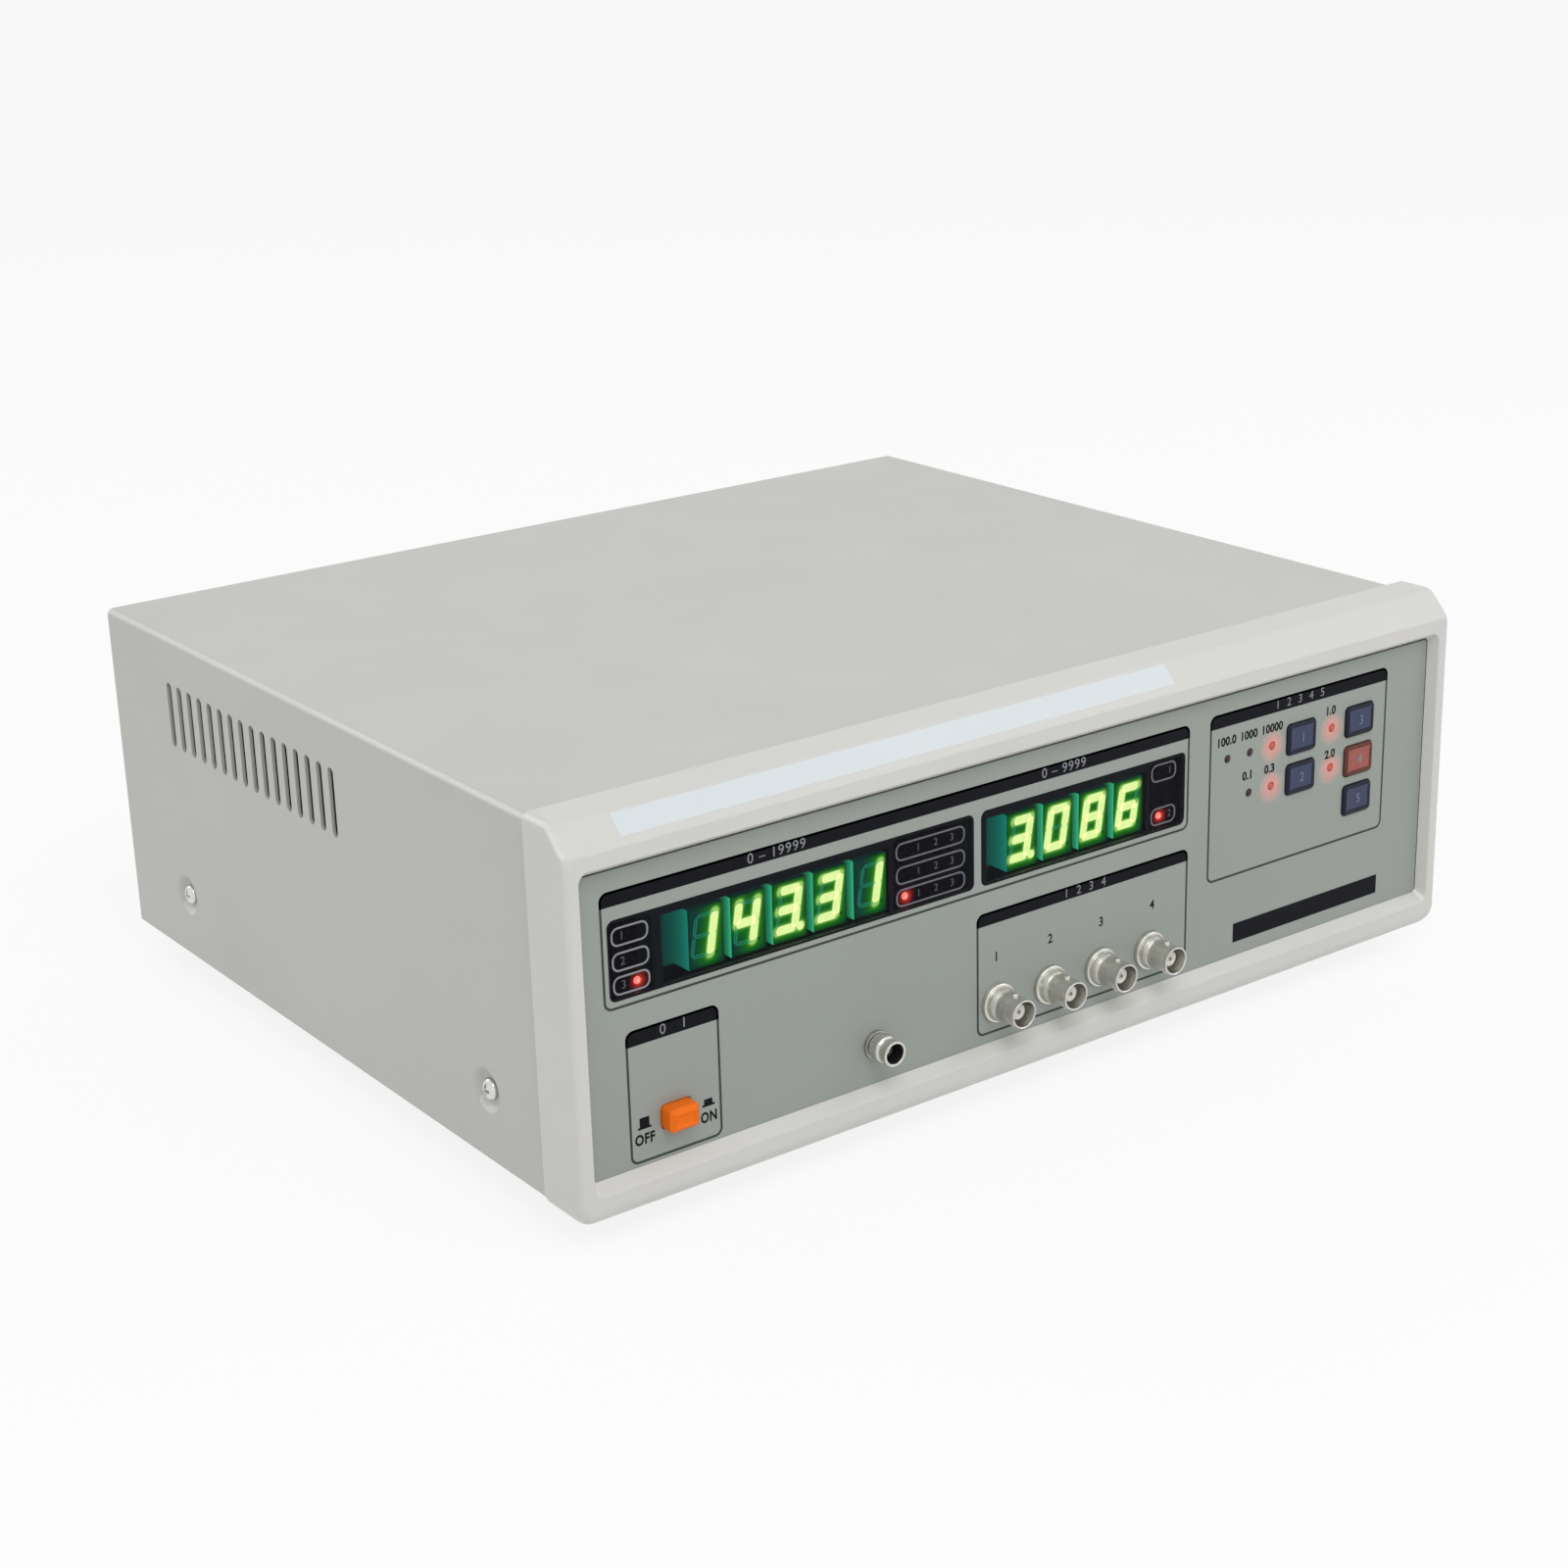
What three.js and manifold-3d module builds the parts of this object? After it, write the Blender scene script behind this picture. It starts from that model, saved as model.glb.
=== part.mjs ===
// Bench LCR meter: a steel case with a moulded front frame, two lit digit displays, five keys,
// four coaxial test terminals, a ground post, a latching power button and a rear mains inlet.
// Millimetres, +Z up, the front faces -Y. Pieces are modelled in the instrument's own frame:
// X from the middle, Y back from the front face of the frame, Z up from the frame's underside.

import * as THREE from 'three';
import { mergeVertices } from 'three/addons/utils/BufferGeometryUtils.js';
import Module from 'manifold-3d';

const wasm = await Module();
wasm.setup();

// General clearances
const overrun = 1;
const touch = 0.1;
const slip = 0.3;
const sunk = 0.4;

// Case
const caseDepth = 307.5;
const sheet = 1.2;
const bendRadius = 2.4;
const coverInset = 2.2;
const groundClearance = 9.5;

// Front frame
const bezelDepth = 20.5;
const bezelWall = 3.8;
const bezelCorner = 6;
const slopeRise = 8.8;
const slopeRun = 8.6;
const underRound = 6;
const sideRound = 2.2;
const lipDepth = 4;
const sideRim = 4.9;
const underRim = 9.8;
const browRim = 5.2;
const sideFlare = 1.6;
const underFlare = 3.1;
const browFlare = 2.3;
const openingCorner = 1.8;
const rimCorner = 3.4;
const tongueDepth = 2.8;
const tongueLip = 1.9;
const tongueNotch = 4;

// Front panel, laid out from its left edge and from its lower edge
const panelThickness = 2;
const panelCorner = 1;
const controlRise = 13.2;
const windowRise = 53.7;
const headerRoom = 16.1;
const displayMargin = 10;
const windowGap = 4;
const keyGap = 19.8;
const keyMargin = 27.2;

// Displays
const windowHeight = 24.1;
const windowCorner = 1.6;
const digitMarginA = 16.8;
const digitMarginB = 13.4;
const windowLap = 1.5;
const windowFlange = 1;
const digitPitch = 15.24;
const digitWidth = 12.6;
const digitHeight = 19;
const digitDepth = 8;
const digitDrop = 2.9;
const digitSetback = 0.9;
const figureHeight = 12.6;
const figureWidth = 6.7;
const strokeWidth = 1.7;
const strokeGap = 0.35;
const strokeRecess = 0.4;
const figureSlant = 0.14;
const digitsInA = 5;
const digitsInB = 4;

// Indicator blocks behind the windows
const blockDepth = 6;
const blockCell = 3;
const blockRows = 3;
const blockRowPitch = 7.75;
const smallBlockWidth = 11.5;
const wideBlockWidth = 26;
const wideBlockColumns = 3;
const blockMargin = 2;
const leftBlockInset = 1.2;
const wideBlockGap = 1.9;
const wideBlockInset = 3.4;
const rightBlockGap = 0.4;
const rightBlockInset = 3.3;

// Keys and their indicators
const keyWidth = 13.6;
const keyHeight = 11.3;
const keyCorner = 1.6;
const keyRise = 1.2;
const keyTravel = 0.4;
const keyBevel = 0.6;
const keyFlange = 1;
const keyPitch = 14.3;
const keyLift = 5.8;
const ledDiameter = 2.9;
const ledPitch = 10.5;
const ledDrop = 0.5;
const ledToLeftKey = 13.3;
const leftKeyToLed = 15.6;
const ledToRightKey = 13;
const stemDiameter = 3.4;
const switchSide = 6;
const switchHeight = 3.5;
const stemHeight = 0.8;

// Test terminals
const bncPitch = 22;
const bncOffset = 4.4;
const bncCount = 4;
const bncReach = 13.2;
const bncFlangeRadius = 6.6;
const bncFlange = 1.6;
const bncStepRadius = 5.8;
const bncStep = 2.6;
const bncBarrelRadius = 4.85;
const bncBoreRadius = 4.1;
const bncBoreDepth = 8.6;
const bncLugRadius = 1;
const bncLugReach = 0.8;
const bncLugSetback = 4.8;
const bncThreadRadius = 4.9;
const bncTail = 8.5;
const bncNut = 2.6;
const bncNutRadius = 7.4;
const bncCoreRadius = 3;
const bncTipRadius = 2.6;
const bncContactRadius = 1.1;
const bncContactBore = 0.7;
const bncTipSetback = 2.8;
const bncPin = 4;

// Ground post
const postSpacing = 49.6;
const postReach = 4.6;
const postRadius = 2.6;
const postBore = 1.9;
const postBoreDepth = 8;
const postCollarRadius = 4.7;
const postCollar = 1.5;
const postTail = 9;
const postTailNut = 2.6;
const postTailNutRadius = 5.6;
const thumbReach = 9.9;
const thumbRadius = 4.5;
const thumbBand = 4;
const thumbWaist = 3.75;
const thumbRing = 4.15;
const thumbMouth = 3.2;
const thumbKnurl = 0.3;
const thumbTeeth = 22;

// Power button
const powerMargin = 30.2;
const powerWidth = 10.6;
const powerHeight = 7.6;
const powerCorner = 1.5;
const powerRise = 5.6;
const powerBevel = 1.3;
const powerTravel = 3.5;
const powerOvertravel = 0.8;
const powerDepth = 9;
const plungerSide = 4;
const plungerGrip = 4;
const plungerFree = 5;
const plungerStay = 5.5;
const latchWidth = 12;
const latchHeight = 10;
const latchDepth = 22;
const latchPost = 8;

// Display board
const boardThickness = 1.6;
const boardInset = 6;
const boardDrop = 32.7;
const boardLift = 30.3;
const studRadius = 2.5;
const studInset = 5;

// Cover vents and side screws
const ventCount = 16;
const ventPitch = 7.93;
const ventWidth = 3;
const ventHeight = 23.6;
const ventMargin = 47.5;
const ventDrop = 16.5;
const screwRise = 23;
const screwFront = 55;
const screwMargin = 45;
const dimpleDepth = 2;
const dimpleRadius = 8.4;
const dimpleFloor = 5.2;
const screwHole = 2.2;
const screwHeadRadius = 4.2;
const screwHead = 2.2;
const screwShank = 1.9;
const screwLength = 8;

// Bottom tray
const traySide = 40;
const trayLip = 9;
const standoffRadius = 3;
const standoffHeight = 8;
const traySlots = 8;
const traySlotLength = 44;
const traySlotPitch = 9;
const traySlotGap = 33;

// Rear panel
const rearSetback = 2.5;
const rearFlange = 12;
const rearVents = 12;
const rearVentInset = 118.8;
const rearVentDrop = 36.3;

// Feet
const footRadius = 11;
const footTopRadius = 9;
const footInset = 37.5;
const footFront = 46;
const footMargin = 43.5;
const footRecess = 4;
const footRecessRadius = 4;

// Mains inlet with its fuse drawer
const inletInset = 40.8;
const inletRise = 39.9;
const inletFlangeWidth = 30;
const inletFlangeHeight = 52;
const inletFlange = 2.2;
const inletCorner = 3;
const inletBodyWidth = 27;
const inletBodyHeight = 47;
const inletBody = 24;
const socketWidth = 24;
const socketHeight = 16;
const socketChamfer = 4;
const socketDepth = 15;
const socketRise = 10.5;
const bladeWidth = 2;
const bladeHeight = 4;
const bladeSpread = 7;
const bladeDrop = 2;
const earthRise = 2;
const bladeLength = 13;
const drawerWidth = 23.6;
const drawerHeight = 11;
const drawerDrop = 11.5;
const drawerFace = 1.6;
const drawerTravel = 16;
const drawerStay = 5;
const drawerWall = 1.5;
const fuseRadius = 2.5;
const fuseLength = 20;
const fuseCap = 5;

// Main board and what is soldered on it
const mainGap = 29;
const mainMargin = 18.8;
const mainFront = 60;
const mainRearMargin = 57.5;
const mainInset = 6;
const chipLength = 36;
const chipWidth = 15;
const chipHeight = 4;
const smallChipLength = 20;
const smallChipWidth = 8;
const relayHeight = 11;
const canRadius = 9;
const canHeight = 30;
const smallCanRadius = 6;
const smallCanHeight = 20;
const connectorLength = 44;
const connectorWidth = 8;
const connectorHeight = 9;

// Mains transformer
const coreStack = 34;
const coreLeg = 11;
const coreInset = 31.8;
const coreMargin = 167.5;
const coilGap = 0.4;
const coilCorner = 4;

// Heat sink
const sinkWidth = 50;
const sinkHeight = 40;
const sinkBase = 4;
const sinkFin = 14;
const sinkFins = 9;
const sinkFinThickness = 1.6;
const sinkInset = 68.8;
const sinkMargin = 25.5;

// Facets
const fine = 3;
const coarse = 1;
const roundSides = 20;
const mediumSides = 14;
const smallSides = 10;
const tinySides = 8;

// Across the panel: two windows of digits and indicator blocks, then the lamps and the keys
const groupWidth = (digits) => digitPitch * (digits - 1) + digitWidth;
const windowAWidth = leftBlockInset + smallBlockWidth + digitMarginA + groupWidth(digitsInA)
  + wideBlockGap + wideBlockWidth + wideBlockInset;
const windowBWidth = digitMarginB + groupWidth(digitsInB)
  + rightBlockGap + smallBlockWidth + rightBlockInset;
const keyBlockWidth = 2 * ledPitch + ledToLeftKey + leftKeyToLed + ledToRightKey + keyWidth / 2;
const openingWidth = displayMargin + windowAWidth + windowGap + windowBWidth
  + keyGap + keyBlockWidth + keyMargin;
const windowALeft = -openingWidth / 2 + displayMargin;
const windowBLeft = windowALeft + windowAWidth + windowGap;
const windowBMiddle = windowBLeft + windowBWidth / 2;
const ledFirst = windowBLeft + windowBWidth + keyGap;
const keyLeftColumn = ledFirst + 2 * ledPitch + ledToLeftKey;
const ledRightColumn = keyLeftColumn + leftKeyToLed;
const keyRightColumn = ledRightColumn + ledToRightKey;
const bncFirst = windowBMiddle - bncOffset - bncPitch * (bncCount - 1) / 2;
const postPlace = bncFirst - postSpacing;
const powerPlace = -openingWidth / 2 + powerMargin;

// Up the panel: the line of the terminals, the windows and the header above them
const openingBottom = underRim + underFlare;
const controlLine = openingBottom + controlRise;
const windowCentre = controlLine + windowRise;
const openingTop = windowCentre + windowHeight / 2 + headerRoom;
const keyTopRow = windowCentre + keyLift;
const ledTopRow = keyTopRow - ledDrop;

// The case that the panel's frame fits
const caseWidth = openingWidth + 2 * (sideFlare + sideRim);
const caseHeight = openingTop + browFlare + browRim + slopeRise;
const panelFront = lipDepth + touch;
const panelRear = panelFront + panelThickness;
const coverHalf = caseWidth / 2 - coverInset;
const coverTop = caseHeight - coverInset;
const coverBottom = coverInset;
const trayFloor = bezelWall + slip;
const trayHalf = coverHalf - sheet - dimpleDepth - slip;
const rearFace = caseDepth - rearSetback;
const rearInner = rearFace - sheet;
const rearHalf = coverHalf - sheet - slip;
const rearTop = coverTop - sheet - slip;
const screwLine = coverBottom + screwRise;
const footHeight = groundClearance + trayFloor - touch;
const windowRear = panelRear + touch + windowFlange;
const digitFace = windowRear + digitSetback;
const boardFront = digitFace + digitDepth + touch;
const boardRear = boardFront + boardThickness;
const boardLeft = -openingWidth / 2 + boardInset;
const boardRight = openingWidth / 2 - boardInset;
const boardBottom = windowCentre - boardDrop;
const boardTop = windowCentre + boardLift;
const plungerGuide = powerTravel + plungerStay;
const drawerDepth = drawerTravel + drawerStay;
const coreWidth = 6 * coreLeg;
const coreHeight = 5 * coreLeg;
const corePlace = coreInset + coreWidth / 2 - trayHalf;
const coreDepth = caseDepth - coreMargin;
const mainLeft = corePlace + coreWidth / 2 + mainGap;
const mainRight = trayHalf - mainMargin;
const mainRear = caseDepth - mainRearMargin;
const inletPlace = inletInset - rearHalf;
const inletLine = trayFloor + inletRise;
const frontReach = bncReach - panelFront;
const frameMiddle = (caseDepth - frontReach) / 2;

// Materials
const finish = (color, roughness, metalness = 0) =>
  new THREE.MeshStandardMaterial({ color, roughness, metalness });
const frameGrey = finish(0xd3d2cc, 0.5);
const coverGrey = finish(0xbfbfbb, 0.45);
const panelGreen = finish(0xa3aaa2, 0.4);
const filterDark = finish(0x14181a, 0.1);
const digitBlack = finish(0x1c2a28, 0.5);
const boardGreen = finish(0x2d5a3a, 0.6);
const blackPlastic = finish(0x18181a, 0.5);
const keyBlue = finish(0x3f4166, 0.5);
const keyRed = finish(0xb2564f, 0.5);
const lensRed = finish(0xd9392f, 0.3);
const nickel = finish(0xb9b7ae, 0.25, 0.9);
const insulatorWhite = finish(0xe4e2dc, 0.5);
const buttonOrange = finish(0xf07c18, 0.45);
const zinc = finish(0xa9a9a6, 0.4, 0.8);
const rubber = finish(0x222222, 0.9);
const coreSteel = finish(0x6b6a66, 0.55, 0.6);
const coilYellow = finish(0xc9a24a, 0.5);
const aluminium = finish(0x9a9c9e, 0.35, 0.85);
const glass = finish(0xdfe4e2, 0.1);

// A closed geometry as a solid, with its faces turned outwards
function solid(geometry) {
  const bare = geometry.clone();
  bare.deleteAttribute('normal');
  bare.deleteAttribute('uv');
  const merged = mergeVertices(bare);
  const place = merged.attributes.position;
  const index = merged.index.array;
  const a = new THREE.Vector3();
  const b = new THREE.Vector3();
  const c = new THREE.Vector3();
  const faces = [];
  let volume = 0;
  for (let i = 0; i < index.length; i += 3) {
    const [p, q, r] = [index[i], index[i + 1], index[i + 2]];
    if (p === q || q === r || r === p) continue;
    faces.push([p, q, r]);
    a.fromBufferAttribute(place, p);
    b.fromBufferAttribute(place, q);
    c.fromBufferAttribute(place, r);
    volume += a.dot(b.cross(c));
  }
  const turned = volume < 0 ? faces.map(([p, q, r]) => [p, r, q]) : faces;
  return new wasm.Manifold(new wasm.Mesh({
    numProp: 3,
    vertProperties: new Float32Array(place.array),
    triVerts: new Uint32Array(turned.flat()),
  }));
}

const axisX = new THREE.Vector3(1, 0, 0);
const axisY = new THREE.Vector3(0, 1, 0);
const axisZ = new THREE.Vector3(0, 0, 1);
const fromFront = new THREE.Matrix4().makeBasis(axisX, axisZ, axisY.clone().negate());
const fromSide = new THREE.Matrix4().makeBasis(axisY, axisZ, axisX);

// An outline drawn in X and Z, running from one depth to another
function alongY(outline, front, back, curveSegments = coarse) {
  const options = { depth: back - front, bevelEnabled: false, curveSegments };
  const geometry = new THREE.ExtrudeGeometry(outline, options);
  return solid(geometry.applyMatrix4(fromFront).translate(0, back, 0));
}

// An outline drawn in Y and Z, running from one side to the other
function alongX(outline, left, right, curveSegments = coarse) {
  const options = { depth: right - left, bevelEnabled: false, curveSegments };
  const geometry = new THREE.ExtrudeGeometry(outline, options);
  return solid(geometry.applyMatrix4(fromSide).translate(left, 0, 0));
}

// An outline drawn in X and Y, standing between two heights
function alongZ(outline, bottom, top, curveSegments = coarse) {
  const options = { depth: top - bottom, bevelEnabled: false, curveSegments };
  const geometry = new THREE.ExtrudeGeometry(outline, options);
  return solid(geometry.translate(0, 0, bottom));
}

// A cap whose front edge is bevelled: the far end of the bevelled bar is cut off
function bevelledY(outline, front, back, bevel) {
  const options = {
    depth: back - front,
    bevelThickness: bevel,
    bevelSize: bevel,
    bevelOffset: -bevel,
    bevelSegments: 1,
    curveSegments: coarse,
  };
  const geometry = new THREE.ExtrudeGeometry(outline, options).applyMatrix4(fromFront);
  const barRear = back + 2 * bevel;
  return solid(geometry.translate(0, back + bevel, 0))
    .subtract(alongY(outline, back, barRear + overrun));
}

// A plug between two outlines of as many points each, one behind the other
function taperedY(frontOutline, front, backOutline, back, curveSegments = coarse) {
  const near = frontOutline.getPoints(curveSegments);
  const far = backOutline.getPoints(curveSegments);
  near.pop();
  far.pop();
  const points = [
    ...near.map(({ x, y }) => new THREE.Vector3(x, front, y)),
    ...far.map(({ x, y }) => new THREE.Vector3(x, back, y)),
  ];
  const count = near.length;
  const faces = [];
  for (const [p, q, r] of THREE.ShapeUtils.triangulateShape(near, [])) faces.push(p, q, r);
  for (const [p, q, r] of THREE.ShapeUtils.triangulateShape(far, [])) {
    faces.push(count + p, count + r, count + q);
  }
  for (let i = 0; i < count; i += 1) {
    const next = (i + 1) % count;
    faces.push(i, count + i, next, next, count + i, count + next);
  }
  const geometry = new THREE.BufferGeometry().setFromPoints(points);
  geometry.setIndex(faces);
  return solid(geometry);
}

// Radii and depths turned about an axis that runs front to back
function turned(points, sides = roundSides) {
  const profile = points.map(([radius, depth]) => new THREE.Vector2(radius, depth));
  return solid(new THREE.LatheGeometry([...profile, profile[0]], sides));
}

function roundedRect(width, height, radius, x = 0, y = 0) {
  const left = x - width / 2 + radius;
  const right = x + width / 2 - radius;
  const bottom = y - height / 2 + radius;
  const top = y + height / 2 - radius;
  const outline = new THREE.Shape();
  outline.absarc(right, bottom, radius, -Math.PI / 2, 0);
  outline.absarc(right, top, radius, 0, Math.PI / 2);
  outline.absarc(left, top, radius, Math.PI / 2, Math.PI);
  outline.absarc(left, bottom, radius, Math.PI, 3 * Math.PI / 2);
  outline.closePath();
  return outline;
}

function rect(left, bottom, right, top) {
  const outline = new THREE.Shape();
  outline.moveTo(left, bottom);
  outline.lineTo(right, bottom);
  outline.lineTo(right, top);
  outline.lineTo(left, top);
  outline.closePath();
  return outline;
}

// A flat bar with round ends, standing upright
function slot(width, height, x, top) {
  const radius = width / 2;
  const outline = new THREE.Shape();
  outline.absarc(x, top - radius, radius, 0, Math.PI);
  outline.absarc(x, top - height + radius, radius, Math.PI, 2 * Math.PI);
  outline.closePath();
  return outline;
}

function regular(radius, sides, x = 0, y = 0, turn = 0) {
  const outline = new THREE.Shape();
  for (let i = 0; i < sides; i += 1) {
    const angle = turn + 2 * Math.PI * i / sides;
    const point = [x + radius * Math.cos(angle), y + radius * Math.sin(angle)];
    if (i === 0) outline.moveTo(...point);
    else outline.lineTo(...point);
  }
  outline.closePath();
  return outline;
}

const disc = (radius, x = 0, y = 0) => regular(radius, roundSides, x, y);
const smallDisc = (radius, x = 0, y = 0) => regular(radius, smallSides, x, y);

const joined = (solids) => solids.reduce((whole, next) => whole.add(next));
const cut = (body, tools) => tools.reduce((rest, tool) => rest.subtract(tool), body);

const instrument = new THREE.Group();
instrument.position.set(0, -frameMiddle, groundClearance);

function place(name, body, material, x = 0, y = 0, z = 0) {
  const { vertProperties, triVerts } = body.getMesh();
  const geometry = new THREE.BufferGeometry();
  geometry.setAttribute('position', new THREE.BufferAttribute(vertProperties, 3));
  geometry.setIndex(new THREE.BufferAttribute(triVerts, 1));
  geometry.computeVertexNormals();
  const mesh = new THREE.Mesh(geometry, material);
  mesh.name = name;
  mesh.position.set(x, y, z);
  instrument.add(mesh);
}

// Front frame: one moulding with a sloping brow, a flared opening and a rebate for the cover
function coverOutline(half, top, bottom, radius) {
  const outline = new THREE.Shape();
  outline.moveTo(-half, bottom);
  outline.lineTo(half, bottom);
  outline.absarc(half - radius, top - radius, radius, 0, Math.PI / 2);
  outline.absarc(-half + radius, top - radius, radius, Math.PI / 2, Math.PI);
  outline.closePath();
  return outline;
}

function frontBezel() {
  const halfWidth = caseWidth / 2;
  const front = roundedRect(caseWidth, caseHeight, bezelCorner, 0, caseHeight / 2);
  const side = new THREE.Shape();
  side.moveTo(bezelDepth, 0);
  side.lineTo(bezelDepth, caseHeight);
  side.lineTo(slopeRun, caseHeight);
  side.lineTo(0, caseHeight - slopeRise);
  side.absarc(underRound, underRound, underRound, Math.PI, 3 * Math.PI / 2);
  side.closePath();
  const plan = new THREE.Shape();
  plan.moveTo(halfWidth, bezelDepth);
  plan.lineTo(-halfWidth, bezelDepth);
  plan.absarc(sideRound - halfWidth, sideRound, sideRound, Math.PI, 3 * Math.PI / 2);
  plan.absarc(halfWidth - sideRound, sideRound, sideRound, -Math.PI / 2, 0);
  plan.closePath();
  const block = alongY(front, 0, bezelDepth, fine)
    .intersect(alongX(side, -halfWidth - overrun, halfWidth + overrun, fine))
    .intersect(alongZ(plan, -overrun, caseHeight + overrun));

  const rise = openingTop - openingBottom;
  const middle = openingBottom + rise / 2;
  const opening = roundedRect(openingWidth, rise, openingCorner, 0, middle);
  const rimRise = rise + underFlare + browFlare;
  const rim = roundedRect(
    openingWidth + 2 * sideFlare, rimRise, rimCorner, 0, middle + (browFlare - underFlare) / 2);
  const flare = taperedY(rim, 0, opening, lipDepth, fine);
  const clearFront = alongY(rim, -overrun, 0, fine);
  const clearBack = alongY(opening, lipDepth, lipDepth + overrun, fine);

  const slopeThrough = bezelWall * Math.hypot(slopeRun, slopeRise) / slopeRun;
  const brow = caseHeight - slopeRise - slopeThrough;
  const ceiling = caseHeight - bezelWall;
  const inner = new THREE.Shape();
  inner.moveTo(lipDepth, bezelWall);
  inner.lineTo(bezelDepth + overrun, bezelWall);
  inner.lineTo(bezelDepth + overrun, ceiling);
  inner.lineTo((ceiling - brow) * slopeRun / slopeRise, ceiling);
  inner.lineTo(lipDepth, brow + lipDepth * slopeRise / slopeRun);
  inner.closePath();
  const pocket = alongX(inner, bezelWall - halfWidth, halfWidth - bezelWall);

  const rebate = coverOutline(
    halfWidth - tongueLip, caseHeight - tongueLip, coverBottom + tongueNotch - slip,
    bendRadius + slip);
  return cut(block, [
    flare,
    clearFront,
    clearBack,
    pocket,
    alongY(rebate, bezelDepth - tongueDepth, bezelDepth + overrun, fine),
  ]);
}

// Places that the panel, the display board and the parts on them share
const keys = [
  { x: keyLeftColumn, row: 0 },
  { x: keyLeftColumn, row: 1 },
  { x: keyRightColumn, row: 0 },
  { x: keyRightColumn, row: 1, material: keyRed },
  { x: keyRightColumn, row: 2 },
].map(({ x, row, material = keyBlue }) => ({ x, z: keyTopRow - keyPitch * row, material }));

const leds = [
  [ledFirst, 0],
  [ledFirst + ledPitch, 0],
  [ledFirst + 2 * ledPitch, 0],
  [ledFirst + ledPitch, 1],
  [ledFirst + 2 * ledPitch, 1],
  [ledRightColumn, 0],
  [ledRightColumn, 1],
].map(([x, row]) => ({ x, z: ledTopRow - keyPitch * row }));

const groupA = windowALeft + leftBlockInset + smallBlockWidth + digitMarginA;
const groupB = windowBLeft + digitMarginB;
const windowAMiddle = windowALeft + windowAWidth / 2;
const windows = [
  { name: 'a', width: windowAWidth, x: windowAMiddle, group: groupA, digits: digitsInA },
  { name: 'b', width: windowBWidth, x: windowBMiddle, group: groupB, digits: digitsInB },
];

const terminals = Array.from({ length: bncCount }, (_, i) => bncFirst + bncPitch * i);

const studRows = [boardBottom + studInset, boardTop - studInset];
const studs = [boardLeft + studInset, keyRightColumn + keyWidth].flatMap(
  (x) => studRows.map((z) => [x, z]));
studs.push([ledFirst - keyGap / 2, studRows[1]]);
studs.push([bncFirst, studRows[0]]);

function frontPanel() {
  const bottom = bezelWall + slip;
  const innerBrow = caseHeight - slopeRise + lipDepth * slopeRise / slopeRun
    - bezelWall * Math.hypot(slopeRun, slopeRise) / slopeRun;
  const top = innerBrow - slip;
  const width = caseWidth - 2 * (bezelWall + slip);
  const outline = roundedRect(width, top - bottom, panelCorner, 0, (top + bottom) / 2);
  for (const { width: paneWidth, x } of windows) {
    outline.holes.push(roundedRect(
      paneWidth + 2 * slip, windowHeight + 2 * slip, windowCorner + slip, x, windowCentre));
  }
  for (const { x, z } of keys) {
    outline.holes.push(roundedRect(
      keyWidth + 2 * slip, keyHeight + 2 * slip, keyCorner + slip, x, z));
  }
  for (const { x, z } of leds) {
    outline.holes.push(smallDisc(ledDiameter / 2 + slip, x, z));
  }
  for (const x of terminals) outline.holes.push(disc(bncThreadRadius + slip, x, controlLine));
  outline.holes.push(disc(postRadius + slip, postPlace, controlLine));
  outline.holes.push(roundedRect(
    powerWidth + 2 * slip, powerHeight + 2 * slip, powerCorner + slip, powerPlace, controlLine));
  const plate = alongY(outline, panelFront, panelRear);
  return joined([plate, ...studs.map(
    ([x, z]) => alongY(smallDisc(studRadius, x, z), panelRear - sunk, boardFront - touch))]);
}

// Window panes: tinted acrylic that drops into the panel from behind, on a flange
function pane(width) {
  const face = roundedRect(width, windowHeight, windowCorner);
  const flange = roundedRect(
    width + 2 * windowLap, windowHeight + 2 * windowLap, windowCorner + windowLap);
  return alongY(face, panelFront, windowRear)
    .add(alongY(flange, panelRear + touch, windowRear));
}

// One seven-segment module: a box with slanted segment wells in its face
function bar(x, z, length, upright) {
  const long = length / 2 - strokeGap;
  const half = strokeWidth / 2;
  const corners = [
    [-long, 0], [half - long, -half], [long - half, -half],
    [long, 0], [long - half, half], [half - long, half],
  ];
  const outline = new THREE.Shape();
  corners.forEach(([u, v], i) => {
    const [px, pz] = upright ? [x - v, z + u] : [x + u, z + v];
    const point = [px + pz * figureSlant, pz];
    if (i === 0) outline.moveTo(...point);
    else outline.lineTo(...point);
  });
  outline.closePath();
  return outline;
}

function digitModule() {
  const rung = figureHeight / 2;
  const wells = [-rung, 0, rung].map((level) => bar(0, level, figureWidth, false));
  for (const side of [-figureWidth / 2, figureWidth / 2]) {
    wells.push(bar(side, -rung / 2, rung, true), bar(side, rung / 2, rung, true));
  }
  const pointPlace = figureWidth / 2 + strokeWidth - figureSlant * rung;
  wells.push(regular(strokeWidth / 2, tinySides, pointPlace, -rung));
  const box = rect(-digitWidth / 2, -digitHeight / 2, digitWidth / 2, digitHeight / 2);
  return cut(alongY(box, 0, digitDepth), wells.map(
    (well) => alongY(well, -overrun, strokeRecess)));
}

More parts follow.
